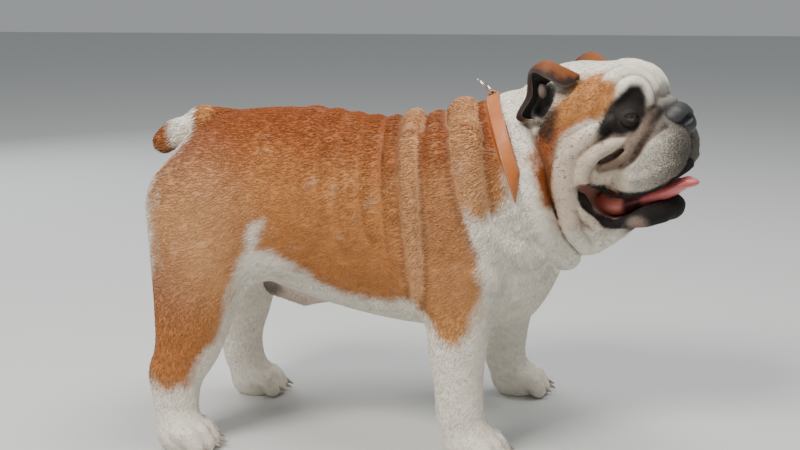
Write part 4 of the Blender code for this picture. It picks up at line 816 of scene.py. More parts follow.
def outline_depth(x, z, outline):
    """How far a place lies inside an outline, or outside it as a negative number."""
    outline = np.asarray(outline)
    place = np.column_stack((x, z))
    nearest = np.full(len(place), 1.0)
    inside = np.zeros(len(place), dtype=bool)
    for start, end in zip(outline, np.roll(outline, -1, axis=0)):
        along = end - start
        offset = place - start
        share = np.clip(offset @ along / (along @ along), 0.0, 1.0)
        nearest = np.minimum(nearest, np.linalg.norm(offset - share[:, None] * along, axis=1))
        crosses = (start[1] > place[:, 1]) != (end[1] > place[:, 1])
        rise = along[1] if abs(along[1]) > 1e-9 else 1e-9
        inside ^= crosses & (place[:, 0] < start[0] + (place[:, 1] - start[1]) * along[0] / rise)
    return np.where(inside, nearest, -nearest)


def soft_step(depth, width):
    """From 0 outside an edge to 1 inside it, over a width."""
    share = np.clip(0.5 + depth / width, 0.0, 1.0)
    return share * share * (3.0 - 2.0 * share)


def ripples(points, size, seed):
    """Smooth unevenness between about -1 and 1, in waves of a size."""
    draw = np.random.default_rng(seed)
    total = np.zeros(len(points))
    for _ in range(9):
        way = draw.normal(size=3)
        way *= 2 * math.pi / size / np.linalg.norm(way) * draw.uniform(0.6, 1.5)
        total += np.sin(points @ way + draw.uniform(0.0, 2 * math.pi))
    return total / 3.2


def spot(points, centre, radii):
    """1 in the middle of a rounded spot, falling to 0 at its edge."""
    return soft_step(1.0 - np.linalg.norm((points - np.asarray(centre)) / radii, axis=1), 0.8)


def head_share(points):
    """1 on the head in front of the collar, 0 on the rest."""
    ahead = (points - HEAD_CUT[0]) @ np.asarray(HEAD_CUT[1])
    behind_ear = (points - COLLAR_CENTRE) @ np.asarray(COLLAR_AXIS)
    return soft_step(np.minimum(ahead + 0.02, behind_ear), 0.012)


def tail_distance(points):
    """Distance to the tail alone."""
    form = Form(points)
    form.add_chain(resample(TAIL, 12), 0.001)
    return form.distance


def trunk_markings(points, fray):
    """Shares of orange, deep red, black and pink on the trunk, legs and tail; part of the black is a painted
    shadow beside the sheath.
    """
    x, y, z = points.T
    saddle = np.where(y < 0.0, outline_depth(x, z, SADDLE), outline_depth(x, z, FAR_SADDLE))
    height, width = np.array(BREECHES).T
    breeches = np.interp(z, height, width) - np.abs(y)
    breeches = np.where((x < BREECHES_FRONT) & (z < height[-1]), breeches, -0.02)
    orange = soft_step(saddle + fray, 0.016) * (1.0 - soft_step(breeches + 2.0 * fray, 0.034))
    # Paler tan on the upper thigh and the shoulder
    flat = points * (1.0, 0.0, 1.0)
    orange *= 1.0 - 0.08 * spot(flat, *PALE_THIGH)
    orange *= 1.0 - 0.04 * spot(flat, *PALE_SHOULDER)
    # Deeper red along the back, over the flank and down the back of the thigh
    ridge = soft_step(z - 0.318 + 0.008 * ripples(points, 0.06, 8), 0.120)
    deep = np.maximum.reduce((ridge, 0.42 * spot(flat, *DEEP_FLANK), 0.62 * spot(points, *DEEP_THIGH)))
    # The tail is red at its root, then tan, cream and orange brown, dark underneath
    along = np.clip((TAIL_ROOT - x) / TAIL_LENGTH, 0.0, 1.0)
    off_rump = soft_step(0.0035 - tail_distance(points), 0.004) * soft_step(along - 0.10, 0.10)
    cream = soft_step(along - 0.44, 0.08) * soft_step(0.76 - along + 3.0 * (z - 0.355), 0.16)
    tan = soft_step(along - 0.20, 0.08) * (1.0 - cream) * soft_step(0.62 - along, 0.10)
    orange = np.where(off_rump > 0.02, orange * (1.0 - off_rump) + off_rump * (1.0 - cream), orange)
    deep *= 1.0 - 0.85 * off_rump * tan
    under_tail = off_rump * soft_step(along - 0.62, 0.10) * soft_step(0.338 - z, 0.012)
    # Black: painted shadow beside the sheath, and the dark underside of the tail
    black = np.maximum(0.75 * spot(points, *GROIN_SHADOW), 0.80 * under_tail)
    return {"orange": orange, "deep": deep, "black": black, "pink": 0.5 * spot(points, *SHEATH_SKIN)}


def face_markings(points, fray):
    """Shares of orange, deep red, black, grey pepper and pink on the head."""
    head = to_head(points)
    mirrored = folded(head)
    hx, hy, hz = mirrored.T
    beside = soft_step(hy - 0.036, 0.012)
    temple = soft_step(outline_depth(hx, hz, TEMPLE) + fray, 0.012) * beside
    cheek = soft_step(-0.014 - hz, 0.020) * soft_step(hx + 0.032, 0.016) * soft_step(hz + 0.130, 0.03)
    pad = soft_step(hx - 0.046 + fray, 0.024) * soft_step(0.004 - hz, 0.014)
    orange = np.maximum(temple, 0.34 * cheek * (1.0 - pad))
    deep = temple * (0.30 + 0.65 * soft_step(-0.012 - hz, 0.03))
    # Pink lining of the mouth, burr of the ear and patch on the chin
    lining = soft_step(-0.0045 - head_base(head), 0.004) * soft_step(hx + 0.014, 0.02)
    lining *= soft_step(-0.066 - hz, 0.01)
    burr = soft_step(0.001 - ellipsoid(mirrored, *EAR_BURR), 0.003)
    patch = spot(head, *PINK_CHIN)
    eye_skin = spot(mirrored, *EYE_SKIN)
    pink = np.maximum.reduce((patch, lining, 0.5 * burr, 0.12 * eye_skin))
    # Dark skin round the eyes, along the lips, on the lower jaw, over the nose and on the front of the lips;
    # painted shadow below the ear, and painted shade in the hollow under it
    eye = soft_step(outline_depth(hx, hz, EYE_PATCH) + 0.4 * fray, 0.008) * beside
    eye *= 1.0 - 0.06 * eye_skin
    lips = np.zeros(len(points))
    for lip, spread in zip(LIPS, LIP_BLACK):
        lips = np.maximum(lips, soft_step(spread - chain_distance(mirrored, lip) + 0.3 * fray, 0.004))
    jaw = soft_step(-0.094 - hz, 0.006) * soft_step(hx - 0.030, 0.020) * soft_step(hz + 0.150, 0.01)
    bridge = 0.75 * spot(head, *DARK_BRIDGE)
    shadow = 0.85 * soft_step(outline_depth(hx, hz, EAR_SHADOW) + fray, 0.012) * beside
    # Painted shade: the hollow under the ear is black
    hollow = soft_step(0.003 - ellipsoid(mirrored, *EAR_HOLLOW), 0.006)
    front = 0.60 * soft_step(hx - 0.092, 0.020) * soft_step(-0.020 - hz, 0.012)
    black = np.maximum.reduce((eye, lips * (1.0 - lining), jaw, bridge, shadow, hollow, front))
    black *= (1.0 - 0.25 * burr) * (1.0 - 0.8 * patch)
    # Grey pepper on the pads of the muzzle, and thinner on the cheeks
    pad *= 0.66 + 0.34 * soft_step(hx - 0.082 - 0.3 * (hz + 0.040), 0.030)
    cheek *= 0.20 + 0.12 * ripples(points, 0.030, 12)
    pepper = np.maximum(pad, cheek).clip(0.0, 1.0)
    return {"orange": orange, "deep": deep, "black": black, "pepper": pepper, "pink": pink}


def markings(points):
    """Shares of orange, deep red, black, grey pepper and pink at places on the dog."""
    fray = 0.0024 * ripples(points, 0.022, 3) + 0.0010 * ripples(points, 0.006, 4)
    on_head = head_share(points)
    body = trunk_markings(points, fray)
    face = face_markings(points, fray)
    return {name: np.maximum(body.get(name, 0.0) * (1.0 - on_head), share * on_head)
            for name, share in face.items()}


# Finish shared by skin and coat: it reads the shares of the markings kept on the mesh and adds
# the fine streaks of short hair, so that both carry the same markings.
WHITE_HAIR = (0.850, 0.790, 0.680)
LIGHT_ORANGE = (0.575, 0.262, 0.085)
DEEP_RED = (0.300, 0.076, 0.013)
BLACK_SKIN = (0.013, 0.010, 0.009)
# Brown of the painted shade laid into the creases of the skin
CREASE_SHADE_BROWN = (0.115, 0.052, 0.026)
GREY_HAIR = (0.105, 0.092, 0.080)
PALE_GREY = (0.560, 0.490, 0.390)
PINK_SKIN = (0.480, 0.250, 0.200)


def add_node(tree, kind, **settings):
    """A shader node with settings and, by socket name, constant inputs."""
    made = tree.nodes.new(kind)
    for name, value in settings.items():
        if hasattr(made, name):
            setattr(made, name, value)
        else:
            made.inputs[name.replace("_", " ")].default_value = value
    return made


def add_texture(tree, kind, **settings):
    """A texture laid on a piece in its own coordinates."""
    made = add_node(tree, kind, **settings)
    place = tree.nodes.new("ShaderNodeTexCoord")
    tree.links.new(place.outputs["Object"], made.inputs["Vector"])
    return made


def raise_grain(tree, shader, height, strength, distance):
    """Raises the surface a little where a height socket is high."""
    raised = add_node(tree, "ShaderNodeBump", Strength=strength, Distance=distance)
    tree.links.new(height, raised.inputs["Height"])
    tree.links.new(raised.outputs["Normal"], shader.inputs["Normal"])


def mixed(tree, share, first, second):
    """The socket of a colour between two others."""
    mix = tree.nodes.new("ShaderNodeMix")
    mix.data_type = "RGBA"
    for socket, value in ((mix.inputs[0], share), (mix.inputs[6], first), (mix.inputs[7], second)):
        if isinstance(value, bpy.types.NodeSocket):
            tree.links.new(value, socket)
        elif isinstance(value, tuple):
            socket.default_value = (*value, 1.0)
        else:
            socket.default_value = value
    return mix.outputs[2]


def calculated(tree, operation, first, second, limited=False):
    """The socket of a sum, product or the like of two numbers."""
    made = tree.nodes.new("ShaderNodeMath")
    made.operation = operation
    made.use_clamp = limited
    for socket, value in zip(made.inputs, (first, second)):
        if isinstance(value, bpy.types.NodeSocket):
            tree.links.new(value, socket)
        else:
            socket.default_value = value
    return made.outputs[0]


def make_coat_colour():
    """Node group: colour of the hair at a place, and the height of its fine streaks."""
    group = bpy.data.node_groups.new("coat_colour", "ShaderNodeTree")
    group.interface.new_socket("Streaks", in_out="INPUT", socket_type="NodeSocketFloat").default_value = 0.2
    group.interface.new_socket("Color", in_out="OUTPUT", socket_type="NodeSocketColor")
    group.interface.new_socket("Height", in_out="OUTPUT", socket_type="NodeSocketFloat")
    given = group.nodes.new("NodeGroupInput")
    result = group.nodes.new("NodeGroupOutput")
    share = {}
    for name in ("orange", "deep", "black", "pepper", "pink", "crease_shade", "shade"):
        share[name] = add_node(group, "ShaderNodeAttribute", attribute_name=name).outputs["Fac"]
    fine = add_texture(group, "ShaderNodeTexNoise", Scale=900.0, Detail=3.0)
    broad = add_texture(group, "ShaderNodeTexNoise", Scale=60.0, Detail=3.0)
    speckle = add_texture(group, "ShaderNodeTexNoise", Scale=1000.0, Detail=2.0)
    hair = mixed(group, share["deep"], LIGHT_ORANGE, DEEP_RED)
    colour = mixed(group, share["orange"], WHITE_HAIR, hair)
    flecks = calculated(group, "SUBTRACT", speckle.outputs[0], 0.475)
    flecks = calculated(group, "MULTIPLY", flecks, 7.0, limited=True)
    colour = mixed(group, share["pepper"], colour, mixed(group, flecks, GREY_HAIR, PALE_GREY))
    # Painted shade: hair in the creases of the skin turns brown
    colour = mixed(group, share["crease_shade"], colour, CREASE_SHADE_BROWN)
    colour = mixed(group, share["pink"], colour, PINK_SKIN)
    colour = mixed(group, share["black"], colour, BLACK_SKIN)
    uneven = calculated(group, "ADD", fine.outputs[0], broad.outputs[0])
    uneven = calculated(group, "SUBTRACT", uneven, 1.0)
    uneven = calculated(group, "ADD", uneven, share["shade"])
    uneven = calculated(group, "MULTIPLY", uneven, given.outputs[0])
    lightness = calculated(group, "ADD", uneven, 1.0)
    tint = group.nodes.new("ShaderNodeVectorMath")
    tint.operation = "SCALE"
    group.links.new(colour, tint.inputs[0])
    group.links.new(lightness, tint.inputs["Scale"])
    group.links.new(tint.outputs[0], result.inputs["Color"])
    group.links.new(fine.outputs[0], result.inputs["Height"])
    return group


COAT_COLOUR = make_coat_colour()


def coat_material(name, streaks, roughness, bump):
    """Short hair, coloured by the markings."""
    made, tree, shader = new_finish(name, Roughness=roughness, Specular_IOR_Level=0.28)
    group = tree.nodes.new("ShaderNodeGroup")
    group.node_tree = COAT_COLOUR
    group.inputs["Streaks"].default_value = streaks
    tree.links.new(group.outputs["Color"], shader.inputs["Base Color"])
    raise_grain(tree, shader, group.outputs["Height"], bump, 0.0006)
    return made


def keep_share(mesh, name, values):
    """Stores one share on a mesh, corner by corner."""
    layer = mesh.attributes.new(name, "FLOAT", "POINT")
    layer.data.foreach_set("value", np.asarray(values, dtype=np.float32))


def keep_markings(made, shares, shade):
    """Stores the shares of the markings on a piece."""
    for name, values in {**shares, "shade": shade}.items():
        keep_share(made.data, name, values)


# The two largest of the rolls round the trunk, and the roll beside the nose, which is darkened as painted
# shade
LARGE_FOLDS = (5, 7)
SHADED_NOSE_ROLL = FACE_ROLLS[2][0]


def hair_shares(points, depth):
    """Markings with painted light and shade of the folds in them: painted shade in the creases, painted
    light on the crests of the rolls.
    """
    shares = markings(points)
    on_head = head_share(points)
    # Painted shade along the roll beside the nose
    nose_roll_shade = soft_step(0.0035 - chain_distance(folded(to_head(points)), SHADED_NOSE_ROLL), 0.005)
    large_folds = 0.25 + 0.75 * soft_step(points[:, 0] - 0.002, 0.02)
    # Painted light on the crests of the rolls round the trunk, and painted shade in the creases
    lit_crest = np.clip(-depth, 0.0, 1.0) * (1.0 - on_head) * large_folds
    crease_shade = np.clip(depth, 0.0, 1.0)
    crease_shade *= on_head * 0.95 + (1.0 - on_head) * (0.12 + 0.86 * shares["orange"])
    shares["crease_shade"] = np.maximum(crease_shade, 0.75 * nose_roll_shade * on_head)
    # The largest folds get painted light on their crests, a paler tan, and painted shade along both sides
    folds = [chain_distance(points, TRUNK_ROLL_JOINTS[roll][0][::2]) for roll in LARGE_FOLDS]
    apart = np.minimum.reduce(folds)
    lit_tan_crest = soft_step(0.0014 - apart, 0.0030) * (1.0 - on_head)
    fold_side_shade = soft_step(0.0062 - apart, 0.0050) * (1.0 - lit_tan_crest) * (1.0 - on_head)
    shares["crease_shade"] = np.maximum(shares["crease_shade"], 0.55 * fold_side_shade * shares["orange"])
    lit_crest = np.maximum(lit_crest, lit_tan_crest)
    shares["deep"] = shares["deep"] * (1.0 - 0.85 * lit_crest)
    shares["orange"] = shares["orange"] * (1.0 - 0.07 * lit_crest)
    return shares


FLESH = ("head", "neck", "chest", "loin", "tail",
         "foreleg_left", "foreleg_right", "forepaw_left", "forepaw_right",
         "hindleg_left", "hindleg_right", "hindpaw_left", "hindpaw_right")
# How often the skin is evened out to find its creases, and the depth of a full crease
CREASE_ROUNDS = 7
CREASE_DEPTH = 0.0011


def creases():
    """How deep each corner of the skin lies: 1 in the bottom of a crease, -1 on the crest of a roll."""
    ends = np.concatenate([skin_faces[:, (corner, (corner + 1) % 4)] for corner in range(4)])
    count = np.bincount(ends[:, 0], minlength=len(skin_places))[:, None]
    eased = skin_places.copy()
    for _ in range(CREASE_ROUNDS):
        total = [np.bincount(ends[:, 0], eased[ends[:, 1], axis], len(eased)) for axis in range(3)]
        eased = 0.5 * (eased + np.stack(total, axis=1) / count)
    hollow = np.einsum("ij,ij->i", eased - skin_places, skin_normals)
    return np.clip(hollow / CREASE_DEPTH, -1.0, 1.0)


skin = mesh_object("skin", skin_places + ROW_SHIFT, skin_faces)
skin_creases = creases()
# Random tone over the bare skin, set a little darker than the tufts as painted shade between the hairs
skin_tone_and_shade = 0.25 * ripples(skin_places, 0.010, 21) - 0.15
keep_markings(skin, hair_shares(skin_places, skin_creases), skin_tone_and_shade)
skin.data.materials.append(coat_material("short_hair_skin", 0.22, 0.75, 0.7))
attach(skin, "root")
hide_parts(*FLESH)

# Eyes
# Two dark brown glossy balls, set deep under the folds and turned outwards, with a black pupil.
# The photo shows hardly any white, so the brown fills the opening.
EYE_RADIUS = 0.0120
EYE_OUTWARD = math.radians(40)
EYE_UPWARD = 0.05
# Bulge of the clear front as a share of the radius, and how far round it reaches in radians
EYE_BULGE = 0.03
EYE_BULGE_REACH = 0.45
# Rings of colour round the pupil, by share of this distance over the ball
EYE_RING_REACH = 0.0130
EYE_RINGS = (
    (0.24, (0.003, 0.002, 0.002)), (0.30, (0.045, 0.017, 0.006)), (0.52, (0.022, 0.009, 0.004)),
    (0.62, (0.005, 0.004, 0.003)), (0.95, (0.034, 0.020, 0.015)),
)


def eye_middle(side):
    """Middle of one eye, in the head's frame."""
    return np.array(EYE_CENTRE) * (1.0, side, 1.0)


def eye_axes(side):
    """Forward, sideways and up directions of one eye, in the head's frame."""
    outward = side * EYE_OUTWARD
    forward = np.array((math.cos(outward), math.sin(outward), EYE_UPWARD))
    forward /= np.linalg.norm(forward)
    across = np.cross((0.0, 0.0, 1.0), forward)
    across /= np.linalg.norm(across)
    return forward, across, np.cross(forward, across)


eye_finish, eye_tree, eye_shader = new_finish(
    "dark_eye", Roughness=0.08, Coat_Weight=1.0, Coat_Roughness=0.02)
eye_ring = add_node(eye_tree, "ShaderNodeAttribute", attribute_name="ring")
eye_ramp = eye_tree.nodes.new("ShaderNodeValToRGB")
for position, _ in EYE_RINGS[1:-1]:
    eye_ramp.color_ramp.elements.new(position)
for ring, (position, colour) in zip(eye_ramp.color_ramp.elements, EYE_RINGS):
    ring.position = position
    ring.color = (*colour, 1.0)
eye_tree.links.new(eye_ring.outputs["Fac"], eye_ramp.inputs["Fac"])
eye_tree.links.new(eye_ramp.outputs["Color"], eye_shader.inputs["Base Color"])

for side, name in ((1, "left"), (-1, "right")):
    forward, across, up = eye_axes(side)
    shape = bmesh.new()
    bmesh.ops.create_uvsphere(shape, u_segments=48, v_segments=32, radius=1.0)
    ball = np.array([vertex.co for vertex in shape.verts])
    from_middle = np.arccos(np.clip(ball[:, 2], -1.0, 1.0))
    radii = EYE_RADIUS * (1.0 + EYE_BULGE * np.exp(-(from_middle / EYE_BULGE_REACH) ** 2))
    places = (ball[:, :1] * across + ball[:, 1:2] * up + ball[:, 2:] * forward) * radii[:, None]
    places = from_head(places + eye_middle(side)) + ROW_SHIFT
    for vertex, place in zip(shape.verts, places):
        vertex.co = place
    ball_mesh = bpy.data.meshes.new(f"eyeball_{name}")
    shape.to_mesh(ball_mesh)
    shape.free()
    ball_mesh.shade_smooth()
    keep_share(ball_mesh, "ring", (from_middle * EYE_RADIUS / EYE_RING_REACH).clip(0, 1))
    ball_mesh.materials.append(eye_finish)
    eyeball = bpy.data.objects.new(f"eyeball_{name}", ball_mesh)
    bpy.context.collection.objects.link(eyeball)
    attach(eyeball, "root")
    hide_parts(f"eye_{name}")

# Lids
# Heavy dark lids over each eye, with moist rounded edges and a fold above the upper one. Each is
# a bowl of skin round the ball, open in front and sunk into the face at its outer edge.
LID_STEPS = 64
# Rings of a lid from its hidden inner edge out into the skin: how far past the edge of the
# opening in degrees, and the height over the eye
LID_RINGS = (
    (2.0, -0.0004), (0.0, 0.0003), (0.5, 0.0009), (4.0, 0.0014), (8.0, 0.0013), (13.0, 0.0008),
    (20.0, 0.0014), (29.0, 0.0012), (40.0, 0.0000), (52.0, -0.0020),
)
# The opening from its middle to its corner, up and down in degrees, its tilt in radians, and
# the power that narrows it towards its corners
OPENING_WIDE = 42.0
OPENING_HIGH = 17.0
OPENING_LOW = 21.0
OPENING_TILT = 0.16
OPENING_POINT = 1.25
LID_SKIN = coat_material("lid_skin", 0.20, 0.85, 0.35)


def tube_faces(rings, around, joined=False):
    """Quads between neighbouring rings of corners; joined also closes the last ring to the first."""
    faces = []
    for ring in range(rings if joined else rings - 1):
        after = (ring + 1) % rings
        for step in range(around):
            beside = (step + 1) % around
            faces.append((ring * around + step, ring * around + beside,
                          after * around + beside, after * around + step))
    return faces


for side, name in ((1, "left"), (-1, "right")):
    forward, across, up = eye_axes(side)
    turns = 2 * math.pi * np.arange(LID_STEPS) / LID_STEPS
    tilt = side * OPENING_TILT
    wide, tall = np.cos(turns), np.sin(turns)
    most = np.where(tall > 0.0, OPENING_HIGH, OPENING_LOW)
    tallness = most * np.abs(tall) ** OPENING_POINT * np.sign(tall)
    places = []
    for past, height in LID_RINGS:
        angle_wide = np.radians(OPENING_WIDE * wide + past * wide)
        angle_tall = np.radians(tallness + past * tall)
        spread_wide = angle_wide * math.cos(tilt) - angle_tall * math.sin(tilt)
        spread_tall = angle_wide * math.sin(tilt) + angle_tall * math.cos(tilt)
        from_middle = np.hypot(spread_wide, spread_tall)
        share = np.sin(from_middle) / np.maximum(from_middle, 1e-9)
        ways = (np.cos(from_middle)[:, None] * forward + (share * spread_wide)[:, None] * across
                + (share * spread_tall)[:, None] * up)
        places.append(eye_middle(side) + ways * (EYE_RADIUS + height))
    faces = tube_faces(len(LID_RINGS), LID_STEPS)
    if side < 0:
        faces = [face[::-1] for face in faces]
    lid_places = from_head(np.concatenate(places))
    lids = mesh_object(f"lids_{name}", lid_places + ROW_SHIFT, faces)
    lid_marks = markings(lid_places)
    lid_marks["black"] = np.clip(lid_marks["black"], 0.97, 1.0)
    lid_marks["pink"] = np.zeros(len(lid_places))
    lid_marks["crease_shade"] = np.zeros(len(lid_places))
    keep_markings(lids, lid_marks, np.zeros(len(lid_places)))
    lids.data.materials.append(LID_SKIN)
    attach(lids, "root")

# Nose
# Moist, pebbled black leather with two comma-shaped nostrils, set between the muzzle's pads.
# Its masses are given in the head's frame as middle and radii, the left nostril as joints.
NOSE_MASSES = (
    ((0.0870, 0.0, -0.0115), (0.0165, 0.0220, 0.0160)),
    ((0.0935, 0.0, -0.0205), (0.0140, 0.0175, 0.0125)),
    ((0.0860, 0.0165, -0.0135), (0.0150, 0.0120, 0.0135)),
    ((0.0860, -0.0165, -0.0135), (0.0150, 0.0120, 0.0135)),
)
NOSTRIL = (
    (0.1045, 0.0085, -0.0120, 0.0044), (0.1015, 0.0165, -0.0150, 0.0050),
    (0.0965, 0.0230, -0.0190, 0.0038), (0.0880, 0.0275, -0.0215, 0.0028),
)
NOSE_BOX = ((0.065, -0.036, -0.045), (0.120, 0.036, 0.015))
NOSE_CELL = 0.0007


def nose_distance(points):
    """Distance to the nose, with its nostrils cut in."""
    form = Form(points)
    for centre, radii in NOSE_MASSES:
        form.add_ellipsoid(centre, radii, 0.006)
    for side in (-1, 1):
        form.add_chain(on_side(NOSTRIL, side), 0.0015, cut=True)
    return form.distance


vertices, faces = skin_mesh(nose_distance, *NOSE_BOX, NOSE_CELL)
nose_leather = mesh_object("nose_leather", from_head(vertices) + ROW_SHIFT, faces)
# Painted shade: the nostrils are darkened nearly to black
in_nostril = 0.0012 - chain_distance(folded(vertices), NOSTRIL)
keep_share(nose_leather.data, "nostril_shade", soft_step(in_nostril, 0.0020))
nose_finish, nose_tree, nose_shader = new_finish("nose_leather", Roughness=0.45)
pebbles = add_texture(nose_tree, "ShaderNodeTexVoronoi", Scale=1100.0)
raise_grain(nose_tree, nose_shader, pebbles.outputs["Distance"], 0.5, 0.0004)
nose_tint = mixed(nose_tree, pebbles.outputs["Distance"], (0.050, 0.046, 0.047), (0.016, 0.015, 0.016))
nostril_shade_node = add_node(nose_tree, "ShaderNodeAttribute", attribute_name="nostril_shade")
nose_tint = mixed(nose_tree, nostril_shade_node.outputs["Fac"], nose_tint, (0.003, 0.002, 0.002))
nose_tree.links.new(nose_tint, nose_shader.inputs["Base Color"])
nose_leather.data.materials.append(nose_finish)
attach(nose_leather, "root")
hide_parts("nose")

# Tongue
# A wet pink tongue that fills the open mouth, grooved along its middle and turned up at its tip.
# It is a chain of joints as X, Y, Z and radius, flattened by a share, and the mass of its root.
TONGUE = (
    (0.010, 0.000, -0.108, 0.030), (0.035, -0.003, -0.1050, 0.030), (0.062, -0.008, -0.0970, 0.026),
    (0.086, -0.014, -0.0890, 0.021), (0.101, -0.019, -0.0825, 0.013),
)
TONGUE_FLATNESS = 0.42
TONGUE_ROOT = ((0.020, 0.0, -0.107), (0.026, 0.041, 0.015))
# Groove along the middle: its depth, where it runs and its width
GROOVE_DEPTH = 0.0014
GROOVE_MIDDLE = -0.010
GROOVE_WIDTH = 0.004
TONGUE_BOX = ((-0.040, -0.050, -0.130), (0.135, 0.050, -0.060))
TONGUE_CELL = 0.0010


def tongue_distance(points):
    """A chain of rods flattened across their middle line, with a groove and a thick root."""
    joints = resample(TONGUE, 14)
    middle = np.interp(points[:, 0], joints[:, 0], joints[:, 2])
    flat = np.column_stack((points[:, 0], points[:, 1], (points[:, 2] - middle) / TONGUE_FLATNESS))
    distance = TONGUE_FLATNESS * chain_distance(flat, joints * (1.0, 1.0, 0.0, 1.0))
    groove = GROOVE_DEPTH * np.exp(-((points[:, 1] - GROOVE_MIDDLE) / GROOVE_WIDTH) ** 2)
    return smooth_min(distance + groove, ellipsoid(points, *TONGUE_ROOT), 0.006)


vertices, faces = skin_mesh(tongue_distance, *TONGUE_BOX, TONGUE_CELL)
tongue_skin = mesh_object("tongue_skin", from_head(vertices) + ROW_SHIFT, faces)
# Paler flesh at the root, and painted shadow in the gap between it and the tongue
low = soft_step(np.interp(vertices[:, 0], (0.0, 0.06), (-0.100, -0.096)) - vertices[:, 2], 0.008)
keep_share(tongue_skin.data, "root", soft_step(0.032 - vertices[:, 0], 0.006))
keep_share(tongue_skin.data, "gap_shadow", 0.9 * low * soft_step(0.010 - np.abs(vertices[:, 0] - 0.042), 0.008))
tongue_finish, tongue_tree, tongue_shader = new_finish(
    "wet_tongue", Roughness=0.30, Subsurface_Weight=0.12, Subsurface_Scale=0.004)
buds = add_texture(tongue_tree, "ShaderNodeTexNoise", Scale=700.0, Detail=2.0)
raise_grain(tongue_tree, tongue_shader, buds.outputs[0], 0.35, 0.0005)
blush = add_texture(tongue_tree, "ShaderNodeTexNoise", Scale=70.0, Detail=2.0)
tongue_tint = mixed(tongue_tree, blush.outputs[0], (0.50, 0.070, 0.075), (0.66, 0.19, 0.18))
for share, colour in (("root", (0.80, 0.24, 0.19)), ("gap_shadow", (0.060, 0.008, 0.008))):
    kept = add_node(tongue_tree, "ShaderNodeAttribute", attribute_name=share)
    tongue_tint = mixed(tongue_tree, kept.outputs["Fac"], tongue_tint, colour)
tongue_tree.links.new(tongue_tint, tongue_shader.inputs["Base Color"])
tongue_skin.data.materials.append(tongue_finish)
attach(tongue_skin, "root")
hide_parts("tongue")

# Claws
# Short blunt claws, one to each toe: dark horn mottled with paler grain. Each is a stack of rings that grows
# out of the front of its toe, shrinks and droops.
CLAW_LENGTH = 0.011
CLAW_RADIUS = 0.0034
CLAW_BREADTH = 0.8
CLAW_SIDES = 14
CLAW_RINGS = 9
# How far the root lies ahead of the toe's tip, as a share of the toe, and over it, then how far
# the claw droops and the share it narrows
CLAW_AHEAD = 0.50
CLAW_RISE = 0.0022
CLAW_DROOP = 0.0042
CLAW_TAPER = 0.82
UP = np.array((0.0, 0.0, 1.0))


def claw_mesh(joint, tip):
    """One claw: rings that shrink and droop from its root in the toe."""
    start, end = np.array(joint[:3]), np.array(tip[:3])
    way = (end - start) * (1.0, 1.0, 0.0)
    way /= np.linalg.norm(way)
    beside = np.cross(way, UP)
    root = end + way * (TOE_RADIUS * CLAW_AHEAD) + UP * CLAW_RISE
    places = []
    for share in np.linspace(0.0, 1.0, CLAW_RINGS):
        middle = root + way * CLAW_LENGTH * share - UP * CLAW_DROOP * share**1.6
        radius = CLAW_RADIUS * (1.0 - CLAW_TAPER * share**1.5)
        for step in range(CLAW_SIDES):
            angle = 2 * math.pi * step / CLAW_SIDES
            places.append(middle + radius * (CLAW_BREADTH * math.cos(angle) * beside + math.sin(angle) * UP))
    return np.array(places), tube_faces(CLAW_RINGS, CLAW_SIDES)


def put_together(parts):
    """Places and faces of several parts as one."""
    all_places, all_faces, count = [], [], 0
    for places, faces in parts:
        all_places.append(places)
        all_faces += [tuple(corner + count for corner in face) for face in faces]
        count += len(places)
    return np.concatenate(all_places), all_faces


claw_finish, claw_tree, claw_shader = new_finish("claw_horn", Roughness=0.35)
grain = add_texture(claw_tree, "ShaderNodeTexNoise", Scale=500.0, Detail=2.0)
claw_tint = mixed(claw_tree, grain.outputs[0], (0.26, 0.20, 0.15), (0.52, 0.44, 0.34))
claw_tree.links.new(claw_tint, claw_shader.inputs["Base Color"])

for prefix, paws in (("fore", FOREPAWS), ("hind", HINDPAWS)):
    for side, paw in paws.items():
        places, faces = put_together([claw_mesh(joint, tip) for _, joint, tip in toe_joints(paw)])
        places[:, 2] = np.maximum(places[:, 2], ABOVE_FLOOR - ROW_SHIFT[2])
        claws = mesh_object(f"claws_{prefix}_{side}", places + ROW_SHIFT, faces)
        claws.data.materials.append(claw_finish)
        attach(claws, "root")

# Coat
# Short, straight, flat hair in fine overlapping tufts: swept back along the body, down the
# legs and away from the nose, longest on the neck and thighs and shortest on face and feet.
TUFTS = 118000
HEAD_TUFTS = 34000
TUFTS_A_PIECE = 22000
# The way the hair lies on the trunk, legs, breast and tail, and on the muzzle in the head's frame
TRUNK_LIE = (-1.0, 0.0, -0.28)
LEG_LIE = (-0.18, 0.0, -1.0)
BREAST_LIE = (-0.25, 0.0, -1.0)
TAIL_LIE = (-0.75, -0.25, -0.55)
MUZZLE_LIE = (-0.55, 0.70, -0.65)
# Lengths of the hair: on the trunk, how much longer or shorter it is elsewhere, and on the face
TRUNK_HAIR = 0.0068
WITHERS_HAIR = 0.0014
BREECHES_HAIR = 0.0016
LEG_HAIR = -0.0020
PAW_HAIR = -0.0014
FACE_HAIR = 0.0042
MUZZLE_HAIR = -0.0018
BREECHES_SPOT = ((-0.265, 0.0, 0.260), (0.05, 0.16, 0.13))
# Tufts: scatter of their direction in degrees, shares of the full length, half width as a share
# of the length and at least, and how far they stand off the skin in degrees
TUFT_SCATTER = 7.0
TUFT_LENGTHS = (0.70, 1.15)
TUFT_WIDTHS = (0.050, 0.075)
LEAST_WIDTH = 0.00016
TUFT_LIFTS = (1.5, 6.0)
